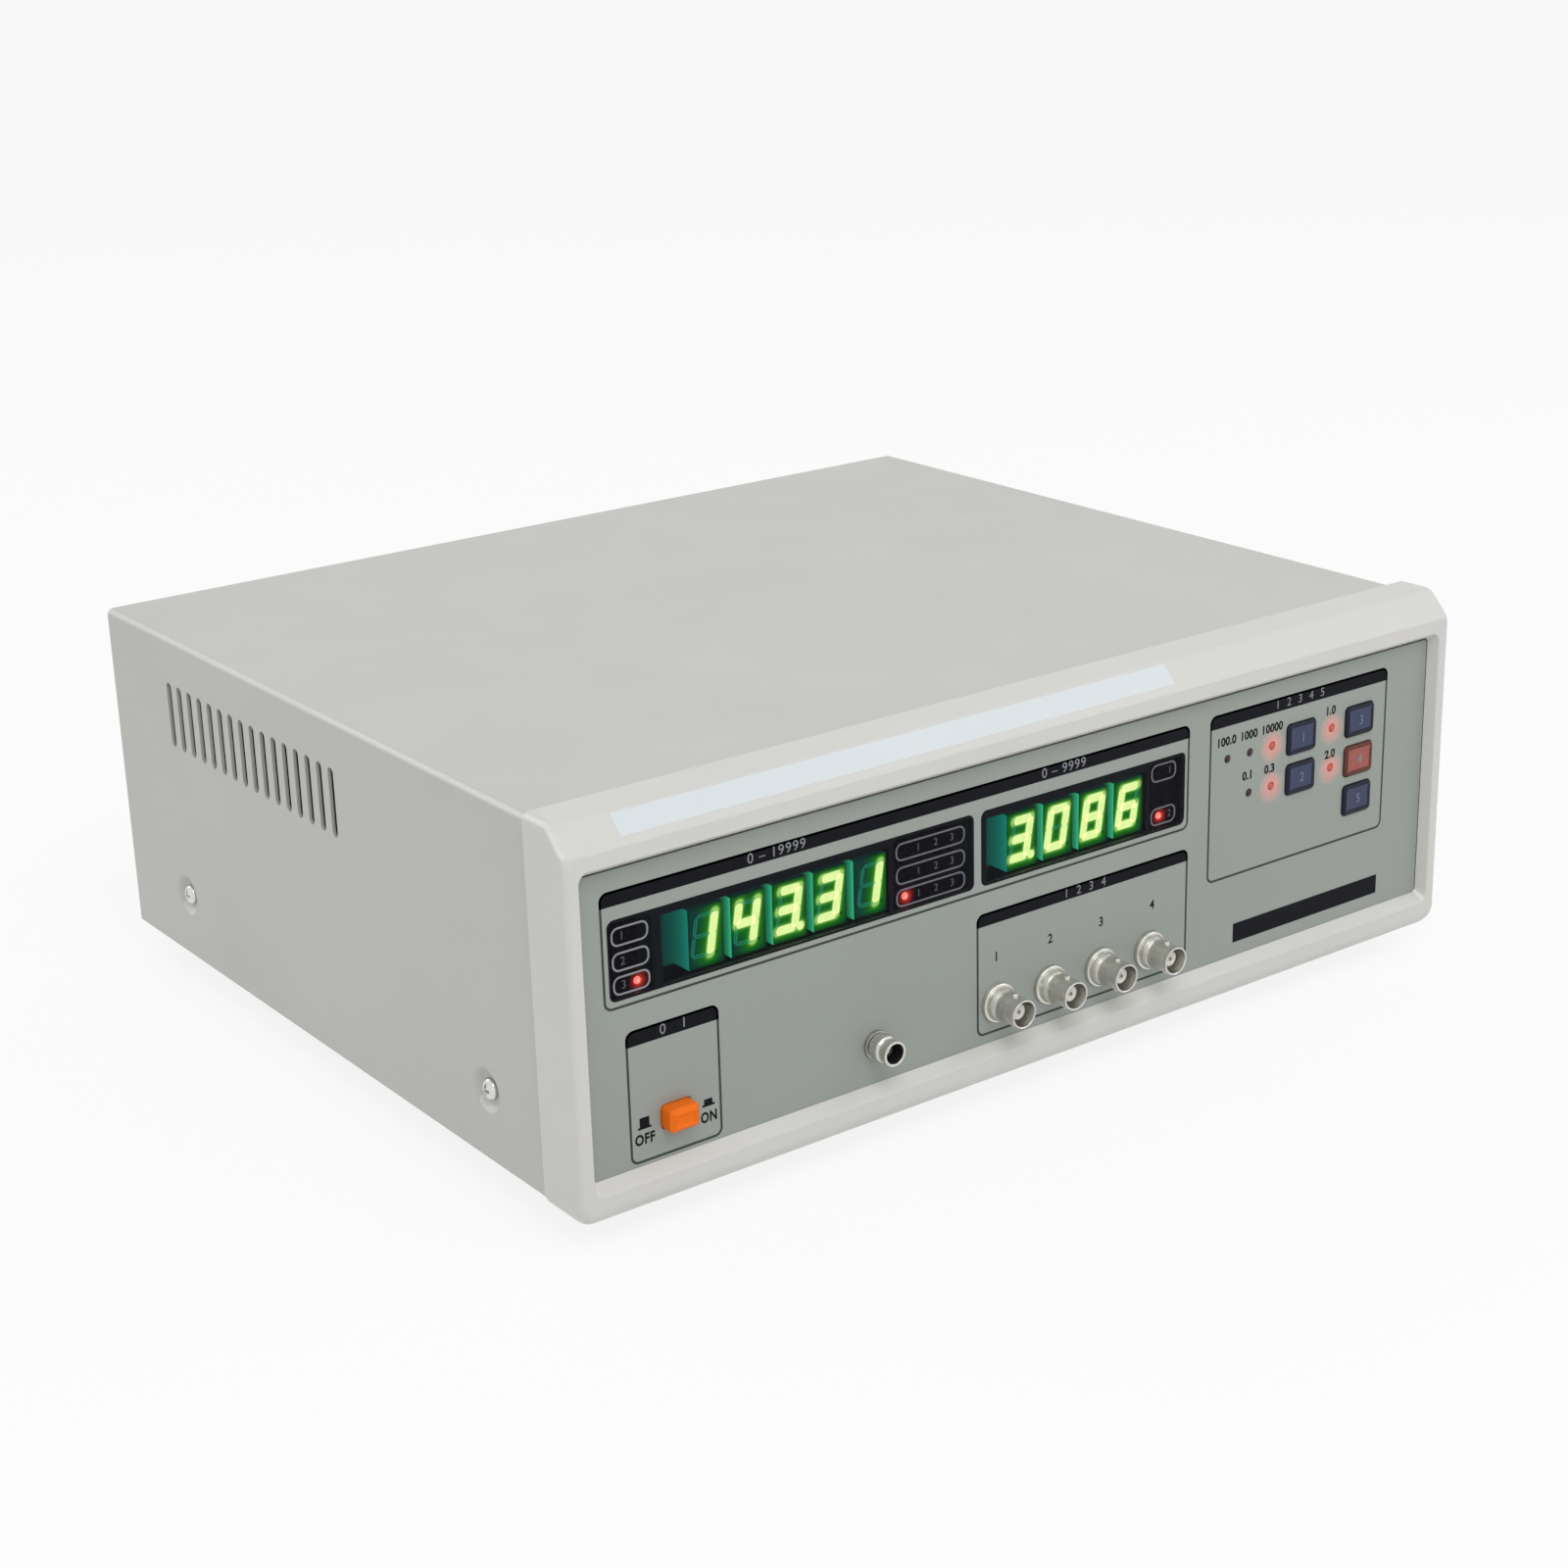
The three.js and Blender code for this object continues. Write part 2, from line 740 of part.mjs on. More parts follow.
// Moulded blocks that hold the indicator lamps of the pills beside the digits
function indicatorBlock(width, rows, columns) {
  const height = blockRows * blockRowPitch;
  const outline = rect(-width / 2, -height / 2, width / 2, height / 2);
  const cellPitch = (width - 2 * blockMargin) / columns;
  const rowPitch = blockRowPitch * (blockRows - 1) / (rows - 1);
  const cells = [];
  for (let row = 0; row < rows; row += 1) {
    for (let column = 0; column < columns; column += 1) {
      const x = (column - (columns - 1) / 2) * cellPitch;
      const z = (row - (rows - 1) / 2) * rowPitch;
      const half = blockCell / 2;
      cells.push(alongY(
        rect(x - half, z - half, x + half, z + half), -overrun, blockDepth / 2));
    }
  }
  return cut(alongY(outline, 0, blockDepth), cells);
}

// Display board with the key switches soldered on it and its plug at the back
function displayBoard() {
  const outline = rect(boardLeft, boardBottom, boardRight, boardTop);
  const parts = [alongY(outline, boardFront, boardRear)];
  for (const { x, z } of keys) {
    const half = switchSide / 2;
    const base = rect(x - half, z - half, x + half, z + half);
    const stemRoot = boardFront - switchHeight;
    parts.push(alongY(base, stemRoot, boardFront + sunk));
    parts.push(alongY(smallDisc(stemDiameter / 2, x, z), stemRoot - stemHeight, stemRoot + sunk));
  }
  const plugLeft = windowBMiddle;
  const plug = rect(
    plugLeft, boardBottom + studInset, plugLeft + connectorLength,
    boardBottom + studInset + connectorWidth);
  parts.push(alongY(plug, boardRear - sunk, boardRear + connectorHeight));
  return joined(parts);
}

// Key: a square cap that stands through the panel, with a flange behind it
const keyRear = boardFront - switchHeight - stemHeight - keyTravel - touch;

function keyCap() {
  const cap = roundedRect(keyWidth, keyHeight, keyCorner);
  const flange = roundedRect(keyWidth + 2 * keyFlange, keyHeight + 2 * keyFlange, keyCorner);
  const flangeFront = panelRear + touch;
  return bevelledY(cap, panelFront - keyRise, keyRear, keyBevel)
    .add(alongY(flange, flangeFront, flangeFront + keyFlange));
}

// Panel lamp: a domed lens on a spacer that stands on the board
function panelLamp() {
  const radius = ledDiameter / 2;
  const front = panelFront - radius / 2;
  const neck = panelRear + touch;
  return turned([
    [0, front],
    [radius * Math.SQRT1_2, front + radius / 4],
    [radius, front + radius],
    [radius, neck],
    [radius + slip, neck + slip],
    [radius + slip, boardFront - touch],
    [0, boardFront - touch],
  ], tinySides);
}

// Coaxial terminal: bayonet barrel with two lugs, a stepped flange, a tail and its rear nut
function bncBody() {
  const tip = -bncReach;
  const stepFront = -bncFlange - bncStep;
  const edge = bncFlange / 3;
  const mouth = (bncBarrelRadius - bncBoreRadius) / 2;
  const tail = panelThickness + bncTail;
  const seat = -touch;
  const shell = turned([
    [bncBoreRadius, tip + mouth],
    [bncBoreRadius + mouth, tip],
    [bncBarrelRadius, tip + mouth],
    [bncBarrelRadius, stepFront - edge],
    [bncStepRadius - edge, stepFront],
    [bncStepRadius, stepFront + edge],
    [bncFlangeRadius - edge, -bncFlange],
    [bncFlangeRadius, -bncFlange + edge],
    [bncFlangeRadius, seat],
    [bncThreadRadius, seat],
    [bncThreadRadius, tail],
    [bncCoreRadius + slip, tail],
    [bncCoreRadius + slip, tip + bncBoreDepth],
    [bncBoreRadius, tip + bncBoreDepth],
  ], mediumSides);
  const lugTip = bncBarrelRadius + bncLugReach;
  const lugOutline = regular(bncLugRadius, tinySides, 0, tip + bncLugSetback);
  const lug = alongZ(lugOutline, bncBoreRadius + mouth, lugTip);
  const farLug = alongZ(lugOutline, -lugTip, -bncBoreRadius - mouth);
  const nutOutline = regular(bncNutRadius, 6);
  nutOutline.holes.push(disc(bncThreadRadius - sunk));
  const nut = alongY(nutOutline, panelThickness + touch, panelThickness + touch + bncNut);
  return joined([shell, lug, farLug, nut]);
}

function bncInsulator() {
  const tip = -bncReach;
  const tail = panelThickness + bncTail;
  const shoulder = tip + bncBoreDepth + touch;
  return turned([
    [0, tip + bncTipSetback + bncBoreDepth / 2],
    [bncContactBore, tip + bncTipSetback + bncBoreDepth / 2],
    [bncContactBore, tip + bncTipSetback],
    [bncTipRadius, tip + bncTipSetback],
    [bncTipRadius, shoulder],
    [bncCoreRadius, shoulder],
    [bncCoreRadius, tail],
    [bncContactRadius, tail],
    [bncContactRadius, tail + bncPin],
    [0, tail + bncPin],
  ], smallSides);
}

// Ground post: a socketed stud on a collar, and the thumb nut that clamps a bare lead
function groundPost() {
  const tip = -postReach;
  const tail = panelThickness + postTail;
  const edge = postCollar / 3;
  const stud = turned([
    [0, tip + postBoreDepth],
    [postBore, tip + postBoreDepth],
    [postBore, tip + edge],
    [postBore + edge, tip],
    [postRadius, tip + touch],
    [postRadius, -postCollar],
    [postCollarRadius - edge, -postCollar],
    [postCollarRadius, -postCollar + edge],
    [postCollarRadius, -touch],
    [postRadius, -touch],
    [postRadius, tail],
    [0, tail],
  ]);
  const nutOutline = regular(postTailNutRadius, 6);
  nutOutline.holes.push(disc(postRadius - sunk));
  const nutFront = panelThickness + touch;
  return stud.add(alongY(nutOutline, nutFront, nutFront + postTailNut));
}

function thumbNut() {
  const back = -postCollar - slip;
  const bandFront = back - thumbBand;
  const front = -thumbReach;
  const neck = (bandFront + front) / 2;
  const bore = postRadius + slip;
  const edge = (thumbRing - thumbMouth) / 2;
  const floor = -postReach - slip;
  const body = turned([
    [bore, back],
    [thumbRadius - thumbKnurl, back],
    [thumbRadius - thumbKnurl, bandFront],
    [thumbWaist, neck],
    [thumbRing, front + edge],
    [thumbRing - edge, front],
    [thumbMouth, front + edge],
    [bore, floor],
  ]);
  const ring = new THREE.Shape();
  for (let i = 0; i < 2 * thumbTeeth; i += 1) {
    const radius = i % 2 ? thumbRadius : thumbRadius - thumbKnurl;
    const angle = Math.PI * i / thumbTeeth;
    const point = [radius * Math.cos(angle), radius * Math.sin(angle)];
    if (i === 0) ring.moveTo(...point);
    else ring.lineTo(...point);
  }
  ring.closePath();
  ring.holes.push(disc(thumbRadius - 2 * thumbKnurl));
  return body.add(alongY(ring, bandFront + thumbKnurl, back - thumbKnurl));
}

// Power button, its plunger and the latching switch behind it, shown latched in
const capFront = panelFront - powerRise;
const capRear = capFront + powerDepth;
const plungerFront = capRear - plungerGrip;
const latchFront = capRear + plungerFree;

function powerCap() {
  const outline = roundedRect(powerWidth, powerHeight, powerCorner);
  const socketSide = plungerSide / 2 + touch;
  const socket = rect(-socketSide, -socketSide, socketSide, socketSide);
  return bevelledY(outline, capFront, capRear, powerBevel)
    .subtract(alongY(socket, plungerFront - touch, capRear + overrun));
}

function powerPlunger() {
  const half = plungerSide / 2;
  return alongY(rect(-half, -half, half, half), plungerFront, latchFront + plungerGuide);
}

function powerSwitch() {
  const box = roundedRect(latchWidth, latchHeight, latchHeight / 8);
  const guideSide = plungerSide / 2 + slip;
  const guide = rect(-guideSide, -guideSide, guideSide, guideSide);
  const guideRear = latchFront + plungerGuide + powerOvertravel + slip;
  const tag = latchWidth / 8;
  const tags = [-1, 1].flatMap((side) => [-1, 1].map((row) => {
    const x = side * latchWidth / 4;
    const z = row * latchHeight / 4;
    const outline = rect(x - tag / 2, z - tag / 4, x + tag / 2, z + tag / 4);
    return alongY(outline, latchFront + latchDepth - sunk, latchFront + latchDepth + latchWidth / 3);
  }));
  return joined([alongY(box, latchFront, latchFront + latchDepth), ...tags])
    .subtract(alongY(guide, latchFront - overrun, guideRear));
}

// Cover: one sheet folded down at both sides, with vent slots and dished screw seats
const screwDepths = [screwFront, caseDepth - screwMargin];

function dish(radius, floor, depth, start) {
  const profile = [[0, start], [radius, start], [floor, depth], [0, depth]];
  return turned(profile, smallSides + 2);
}

function topCover() {
  const front = bezelDepth - tongueDepth + slip;
  const outer = coverOutline(coverHalf, coverTop, coverBottom, bendRadius);
  const hollow = coverOutline(
    coverHalf - sheet, coverTop - sheet, coverBottom - overrun, bendRadius - sheet);
  const shell = alongY(outer, front, caseDepth)
    .subtract(alongY(hollow, front - overrun, caseDepth + overrun));
  const notchTop = coverBottom + tongueNotch;
  const notch = rect(front - overrun, coverBottom - overrun, bezelDepth + slip, notchTop);
  const reach = coverHalf + overrun;
  const slots = Array.from({ length: ventCount }, (_, i) => alongX(
    slot(ventWidth, ventHeight, caseDepth - ventMargin - ventPitch * i, coverTop - ventDrop),
    -reach, reach, 1));

  // Each seat is a shallow cone pressed inwards: its back is added, then its front is cut
  const pressed = [];
  const hollows = [];
  for (const side of [-1, 1]) {
    for (const y of screwDepths) {
      const seat = (body) => body.rotate([0, 0, side * 90])
        .translate([side * coverHalf, y, screwLine]);
      const back = dish(dimpleRadius + sunk, dimpleFloor + sheet / 2, dimpleDepth + sheet, sheet / 2);
      pressed.push(seat(back));
      hollows.push(seat(dish(dimpleRadius, dimpleFloor, dimpleDepth, -sunk)));
      hollows.push(seat(alongY(smallDisc(screwHole), 0, dimpleDepth + sheet + overrun)));
    }
  }
  return cut(joined([cut(shell, [alongX(notch, -reach, reach), ...slots]), ...pressed]), hollows);
}

// Pan-head screw: its head rests in the dish and its shank passes the tray's side
function coverScrew() {
  const seat = dimpleDepth - touch;
  const crown = seat - screwHead;
  const body = turned([
    [0, crown],
    [screwHeadRadius / 2, crown + screwHead / 8],
    [screwHeadRadius * 0.85, crown + screwHead / 2],
    [screwHeadRadius, seat - screwHead / 4],
    [screwHeadRadius, seat],
    [screwShank, seat],
    [screwShank, seat + screwLength - screwShank / 2],
    [screwShank / 2, seat + screwLength],
    [0, seat + screwLength],
  ], smallSides);
  const long = screwHeadRadius / 2;
  const thin = screwHeadRadius / 9;
  const floor = crown + screwHead / 2;
  return cut(body, [
    alongY(rect(-long, -thin, long, thin), crown - overrun, floor),
    alongY(rect(-thin, -long, thin, long), crown - overrun, floor),
  ]);
}

// Bottom tray: a folded channel with lips at both ends, board stand-offs and a slotted floor
const trayFront = panelRear + slip;
const trayRear = rearInner - slip;
const mainCorners = [mainLeft + mainInset, mainRight - mainInset].flatMap(
  (x) => [mainFront + mainInset, mainRear - mainInset].map((y) => [x, y]));

function bottomTray() {
  const channel = new THREE.Shape();
  const top = trayFloor + traySide;
  const inner = trayHalf - sheet;
  const innerBend = bendRadius - sheet;
  channel.moveTo(trayHalf, top);
  channel.lineTo(inner, top);
  channel.absarc(inner - innerBend, trayFloor + bendRadius, innerBend, 0, -Math.PI / 2, true);
  channel.absarc(innerBend - inner, trayFloor + bendRadius, innerBend, -Math.PI / 2, -Math.PI, true);
  channel.lineTo(-inner, top);
  channel.lineTo(-trayHalf, top);
  channel.absarc(bendRadius - trayHalf, trayFloor + bendRadius, bendRadius, Math.PI, 3 * Math.PI / 2);
  channel.absarc(trayHalf - bendRadius, trayFloor + bendRadius, bendRadius, -Math.PI / 2, 0);
  channel.closePath();
  const lipTop = trayFloor + trayLip;
  const lipHalf = inner - bendRadius;
  const lip = rect(-lipHalf, trayFloor + sheet / 2, lipHalf, lipTop);
  const floorTop = trayFloor + sheet;
  const posts = mainCorners.map(([x, y]) => alongZ(
    smallDisc(standoffRadius, x, y), floorTop - sunk, floorTop + standoffHeight));
  const tabHalf = latchWidth / 2;
  const tabFront = latchFront + latchDepth / 4;
  const tab = rect(
    powerPlace - tabHalf, tabFront, powerPlace + tabHalf, tabFront + latchPost);
  const tabTop = controlLine - latchHeight / 2 - touch;
  const body = joined([
    alongY(channel, trayFront, trayRear),
    alongY(lip, trayFront, trayFront + sheet),
    alongY(lip, trayRear - sheet, trayRear),
    alongZ(tab, floorTop - sunk, tabTop),
    ...posts,
  ]);
  const floorSlots = Array.from({ length: traySlots }, (_, i) => {
    const x = corePlace + traySlotPitch * (i - (traySlots - 1) / 2);
    const end = coreDepth + coreStack / 2 + traySlotGap + traySlotLength;
    const outline = slot(ventWidth, traySlotLength, x, end);
    return alongZ(outline, trayFloor - overrun, floorTop + overrun, 1);
  });
  const screwHoles = screwDepths.map((y) => alongX(
    smallDisc(screwHole, y, screwLine), -trayHalf - overrun, trayHalf + overrun));
  return cut(body, [...floorSlots, ...screwHoles]);
}

// Rear panel: a plate with side and top flanges, the inlet's cut-out and a row of vents
function rearPanel() {
  const bend = bendRadius;
  const innerBend = bend - sheet;
  const flangeEnd = rearInner - rearFlange;
  const plan = new THREE.Shape();
  plan.moveTo(-rearHalf, flangeEnd);
  plan.lineTo(sheet - rearHalf, flangeEnd);
  const bendPlace = rearHalf - sheet - innerBend;
  const quarter = Math.PI / 2;
  plan.absarc(-bendPlace, rearInner - innerBend, innerBend, Math.PI, quarter, true);
  plan.absarc(bendPlace, rearInner - innerBend, innerBend, quarter, 0, true);
  plan.lineTo(rearHalf - sheet, flangeEnd);
  plan.lineTo(rearHalf, flangeEnd);
  plan.absarc(rearHalf - bend, rearFace - bend, bend, 0, Math.PI / 2);
  plan.absarc(bend - rearHalf, rearFace - bend, bend, Math.PI / 2, Math.PI);
  plan.closePath();
  const topFlange = rect(-rearHalf + bend, flangeEnd, rearHalf - bend, rearInner + sheet / 2);
  const cutOut = roundedRect(
    inletBodyWidth + 2 * slip, inletBodyHeight + 2 * slip, inletCorner / 2, inletPlace, inletLine);
  const vents = Array.from({ length: rearVents }, (_, i) => slot(
    ventWidth, ventHeight, rearHalf - rearVentInset + ventPitch * (i - (rearVents - 1) / 2),
    rearTop - rearVentDrop + ventHeight / 2));
  const corners = coverOutline(rearHalf, rearTop, trayFloor, bendRadius - sheet);
  return cut(
    alongZ(plan, trayFloor, rearTop).add(alongZ(topFlange, rearTop - sheet, rearTop))
      .intersect(alongY(corners, flangeEnd - overrun, rearFace + overrun)),
    [cutOut, ...vents].map((outline) => alongY(
      outline, rearInner - overrun, rearFace + overrun, 1)));
}

// Rubber foot: a tapered disc with a recess for its screw
function foot() {
  const body = new THREE.LatheGeometry([
    [0, 0], [footTopRadius, 0], [footRadius, -footHeight + footRecess / 4],
    [footRadius - footRecess / 4, -footHeight], [footRecessRadius, -footHeight],
    [footRecessRadius, footRecess - footHeight], [0, footRecess - footHeight], [0, 0],
  ].map(([radius, height]) => new THREE.Vector2(radius, height)), mediumSides);
  return solid(body.rotateX(Math.PI / 2));
}

// Mains inlet: flange, body, recessed three-blade socket and the fuse drawer's bay
const flangeRear = rearFace + touch + inletFlange;

function socketOutline() {
  const half = socketWidth / 2;
  const low = socketRise - socketHeight / 2;
  const high = socketRise + socketHeight / 2;
  const outline = new THREE.Shape();
  outline.moveTo(-half, low);
  outline.lineTo(half, low);
  outline.lineTo(half, high - socketChamfer);
  outline.lineTo(half - socketChamfer, high);
  outline.lineTo(socketChamfer - half, high);
  outline.lineTo(-half, high - socketChamfer);
  outline.closePath();
  return outline;
}

function blade(x, z, width, height) {
  const outline = rect(x - width / 2, z - height / 2, x + width / 2, z + height / 2);
  return alongY(outline, flangeRear - socketDepth - sunk, flangeRear - socketDepth + bladeLength);
}

function mainsInlet() {
  const flange = roundedRect(inletFlangeWidth, inletFlangeHeight, inletCorner);
  const body = roundedRect(inletBodyWidth, inletBodyHeight, inletCorner / 3);
  const bay = rect(
    -drawerWidth / 2 - slip, -drawerDrop - drawerHeight / 2 - slip,
    drawerWidth / 2 + slip, -drawerDrop + drawerHeight / 2 + slip);
  const shell = cut(
    alongY(flange, rearFace + touch, flangeRear)
      .add(alongY(body, flangeRear - inletBody, rearFace + touch + sunk)),
    [
      alongY(socketOutline(), flangeRear - socketDepth, flangeRear + overrun),
      alongY(bay, flangeRear - drawerDepth - slip, flangeRear + overrun),
    ]);
  return joined([
    shell,
    blade(-bladeSpread, socketRise - bladeDrop, bladeWidth, bladeHeight),
    blade(bladeSpread, socketRise - bladeDrop, bladeWidth, bladeHeight),
    blade(0, socketRise + earthRise, bladeWidth, bladeHeight),
  ]);
}

// Fuse drawer: an open tray behind a finger-grip face, and the glass fuse that lies in it
function fuseDrawer() {
  const halfWidth = drawerWidth / 2;
  const halfHeight = drawerHeight / 2;
  const box = rect(-halfWidth, -halfHeight, halfWidth, halfHeight);
  const hollow = rect(
    drawerWall - halfWidth, drawerWall - halfHeight, halfWidth - drawerWall, halfHeight + overrun);
  const front = flangeRear - drawerFace;
  const grip = rect(
    -halfWidth / 3, -halfHeight - overrun, halfWidth / 3, drawerFace - halfHeight);
  return alongY(box, flangeRear - drawerDepth, flangeRear)
    .subtract(alongY(hollow, flangeRear - drawerDepth + drawerWall, front))
    .subtract(alongY(grip, front + drawerFace / 2, flangeRear + overrun));
}

function fuseTube() {
  const half = fuseLength / 2;
  const inner = half - fuseCap;
  const thin = fuseRadius - slip / 2;
  const turnedTube = new THREE.LatheGeometry([
    [0, -half], [fuseRadius, -half], [fuseRadius, -inner], [thin, -inner],
    [thin, inner], [fuseRadius, inner], [fuseRadius, half], [0, half], [0, -half],
  ].map(([radius, depth]) => new THREE.Vector2(radius, depth)), smallSides);
  return solid(turnedTube.rotateZ(Math.PI / 2));
}

// Main board: a plate on the stand-offs with its soldered parts
const mainBottom = trayFloor + sheet + standoffHeight + touch;
const mainTop = mainBottom + boardThickness;

// Places as shares of the board's width and depth, with sizes along X, Y and Z
const chips = [
  { xShare: 0.3, yShare: 0.3, size: [chipLength, chipWidth, chipHeight] },
  { xShare: 0.62, yShare: 0.34, size: [chipLength, chipWidth, chipHeight] },
  { xShare: 0.3, yShare: 0.55, size: [smallChipLength, smallChipWidth, chipHeight] },
  { xShare: 0.52, yShare: 0.58, size: [smallChipLength, smallChipWidth, chipHeight] },
  { xShare: 0.84, yShare: 0.16, size: [smallChipLength, chipWidth, relayHeight] },
  { xShare: 0.84, yShare: 0.3, size: [smallChipLength, chipWidth, relayHeight] },
];
const cans = [
  { xShare: 0.16, yShare: 0.84, radius: canRadius, tall: canHeight },
  { xShare: 0.3, yShare: 0.84, radius: canRadius, tall: canHeight },
  { xShare: 0.44, yShare: 0.86, radius: smallCanRadius, tall: smallCanHeight },
  { xShare: 0.55, yShare: 0.86, radius: smallCanRadius, tall: smallCanHeight },
];

function mainBoard() {
  const width = mainRight - mainLeft;
  const depth = mainRear - mainFront;
  const parts = [alongZ(rect(mainLeft, mainFront, mainRight, mainRear), mainBottom, mainTop)];
  for (const { xShare, yShare, size: [along, across, tall] } of chips) {
    const x = mainLeft + width * xShare;
    const y = mainFront + depth * yShare;
    const outline = rect(x - along / 2, y - across / 2, x + along / 2, y + across / 2);
    parts.push(alongZ(outline, mainTop - sunk, mainTop + tall));
  }
  for (const { xShare, yShare, radius, tall } of cans) {
    const outline = smallDisc(radius, mainLeft + width * xShare, mainFront + depth * yShare);
    parts.push(alongZ(outline, mainTop - sunk, mainTop + tall));
  }
  const plug = rect(
    windowBMiddle, mainFront + mainInset, windowBMiddle + connectorLength,
    mainFront + mainInset + connectorWidth);
  parts.push(alongZ(plug, mainTop - sunk, mainTop + connectorHeight));
  return joined(parts);
}

// Mains transformer: a laminated core with two windows, and the coil on its centre leg
function transformerCore() {
  const windowWidth = (coreWidth - 4 * coreLeg) / 2;
  const openings = [-1, 1].map((side) => {
    const middle = side * (coreLeg + windowWidth / 2);
    const outline = rect(
      middle - windowWidth / 2, coreLeg, middle + windowWidth / 2, coreHeight - coreLeg);
    return alongY(outline, -coreStack, coreStack);
  });
  const outline = rect(-coreWidth / 2, 0, coreWidth / 2, coreHeight);
  return cut(alongY(outline, -coreStack / 2, coreStack / 2), openings);
}

function transformerCoil() {
  const windowWidth = (coreWidth - 4 * coreLeg) / 2;
  const build = windowWidth - 2 * coilGap;
  const innerX = 2 * (coreLeg + coilGap);
  const innerY = coreStack + 2 * coilGap;
  const outline = roundedRect(innerX + 2 * build, innerY + 2 * build, coilCorner);
  outline.holes.push(roundedRect(innerX, innerY, coilGap));
  return alongZ(outline, coreLeg + touch, coreHeight - coreLeg - coilGap);
}

// Heat sink: an extruded comb that stands on the tray behind the main board
function heatSink() {
  const pitch = (sinkWidth - sinkFinThickness) / (sinkFins - 1);
  const outline = new THREE.Shape();
  outline.moveTo(-sinkWidth / 2, 0);
  outline.lineTo(sinkWidth / 2, 0);
  for (let i = sinkFins - 1; i >= 0; i -= 1) {
    const left = -sinkWidth / 2 + pitch * i;
    const right = left + sinkFinThickness;
    if (i < sinkFins - 1) outline.lineTo(right, -sinkBase);
    outline.lineTo(right, -sinkBase - sinkFin);
    outline.lineTo(left, -sinkBase - sinkFin);
    if (i > 0) outline.lineTo(left, -sinkBase);
  }
  outline.closePath();
  return alongZ(outline, 0, sinkHeight);
}

// Assembly
place('front_bezel', frontBezel(), frameGrey);
place('front_panel', frontPanel(), panelGreen);
place('top_cover', topCover(), coverGrey);
place('bottom_tray', bottomTray(), zinc);
place('rear_panel', rearPanel(), coverGrey);

const footBody = foot();
const footPlace = caseWidth / 2 - footInset;
const [frontScrew, rearScrew] = screwDepths;
for (const [side, sign] of [['left', -1], ['right', 1]]) {
  for (const [end, y] of [['front', footFront], ['rear', caseDepth - footMargin]]) {
    place(`foot_${end}_${side}`, footBody, rubber, sign * footPlace, y, trayFloor - touch);
  }
  for (const [end, y] of [['front', frontScrew], ['rear', rearScrew]]) {
    const screw = coverScrew().rotate([0, 0, sign * 90]);
    place(`cover_screw_${end}_${side}`, screw, zinc, sign * coverHalf, y, screwLine);
  }
}

const moduleBody = digitModule();
for (const { name, width, x, group, digits } of windows) {
  place(`window_${name}`, pane(width), filterDark, x, 0, windowCentre);
  for (let i = 0; i < digits; i += 1) {
    const digitPlace = group + digitWidth / 2 + digitPitch * i;
    place(`digit_${name}${i + 1}`, moduleBody, digitBlack, digitPlace, digitFace,
      windowCentre - digitDrop);
  }
}

// The indicator blocks stand at the ends of the windows, beside the digits
const leftBlock = windowALeft + leftBlockInset + smallBlockWidth / 2;
const wideBlock = windowALeft + windowAWidth - wideBlockInset - wideBlockWidth / 2;
const rightBlock = windowBLeft + windowBWidth - rightBlockInset - smallBlockWidth / 2;
const blocks = [
  ['left', leftBlock, smallBlockWidth, blockRows, 1],
  ['middle', wideBlock, wideBlockWidth, blockRows, wideBlockColumns],
  ['right', rightBlock, smallBlockWidth, blockRows - 1, 1],
];
for (const [name, x, width, rows, columns] of blocks) {
  const block = indicatorBlock(width, rows, columns);
  const blockFront = boardFront - touch - blockDepth;
  place(`indicator_block_${name}`, block, blackPlastic, x, blockFront, windowCentre);
}

place('display_board', displayBoard(), boardGreen);
const capBody = keyCap();
keys.forEach(({ x, z, material }, i) => place(`key_${i + 1}`, capBody, material, x, 0, z));
const lampBody = panelLamp();
leds.forEach(({ x, z }, i) => place(`panel_lamp_${i + 1}`, lampBody, lensRed, x, 0, z));

const shellBody = bncBody();
const coreBody = bncInsulator();
terminals.forEach((x, i) => {
  place(`bnc_${i + 1}`, shellBody, nickel, x, panelFront, controlLine);
  place(`bnc_insulator_${i + 1}`, coreBody, insulatorWhite, x, panelFront, controlLine);
});

place('ground_post', groundPost(), nickel, postPlace, panelFront, controlLine);
place('ground_nut', thumbNut(), nickel, postPlace, panelFront, controlLine);

place('power_button', powerCap(), buttonOrange, powerPlace, 0, controlLine);
place('power_plunger', powerPlunger(), insulatorWhite, powerPlace, 0, controlLine);
place('power_switch', powerSwitch(), blackPlastic, powerPlace, 0, controlLine);

place('mains_inlet', mainsInlet(), blackPlastic, inletPlace, 0, inletLine);
place('fuse_drawer', fuseDrawer(), blackPlastic, inletPlace, 0, inletLine - drawerDrop);
const fuseLine = inletLine - drawerDrop - drawerHeight / 2 + drawerWall + fuseRadius + touch;
const fuseDepth = flangeRear - drawerFace - fuseRadius - touch;
place('fuse', fuseTube(), glass, inletPlace, fuseDepth - fuseRadius, fuseLine);

place('main_board', mainBoard(), boardGreen);
const floorTop = trayFloor + sheet + touch;
place('transformer_core', transformerCore(), coreSteel, corePlace, coreDepth, floorTop);
place('transformer_coil', transformerCoil(), coilYellow, corePlace, coreDepth, floorTop);
place('heat_sink', heatSink(), aluminium, trayHalf - sinkInset, caseDepth - sinkMargin, floorTop);

export default instrument;
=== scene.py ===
"""Dressed model of a bench LCR meter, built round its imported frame.

Lengths are in millimetres of the instrument's own frame: X from the middle, Y back from the front
face of its frame, Z up from the frame's underside. The function spot() turns them into metres.
"""

from math import cos, exp, hypot, pi, radians, sin, sqrt

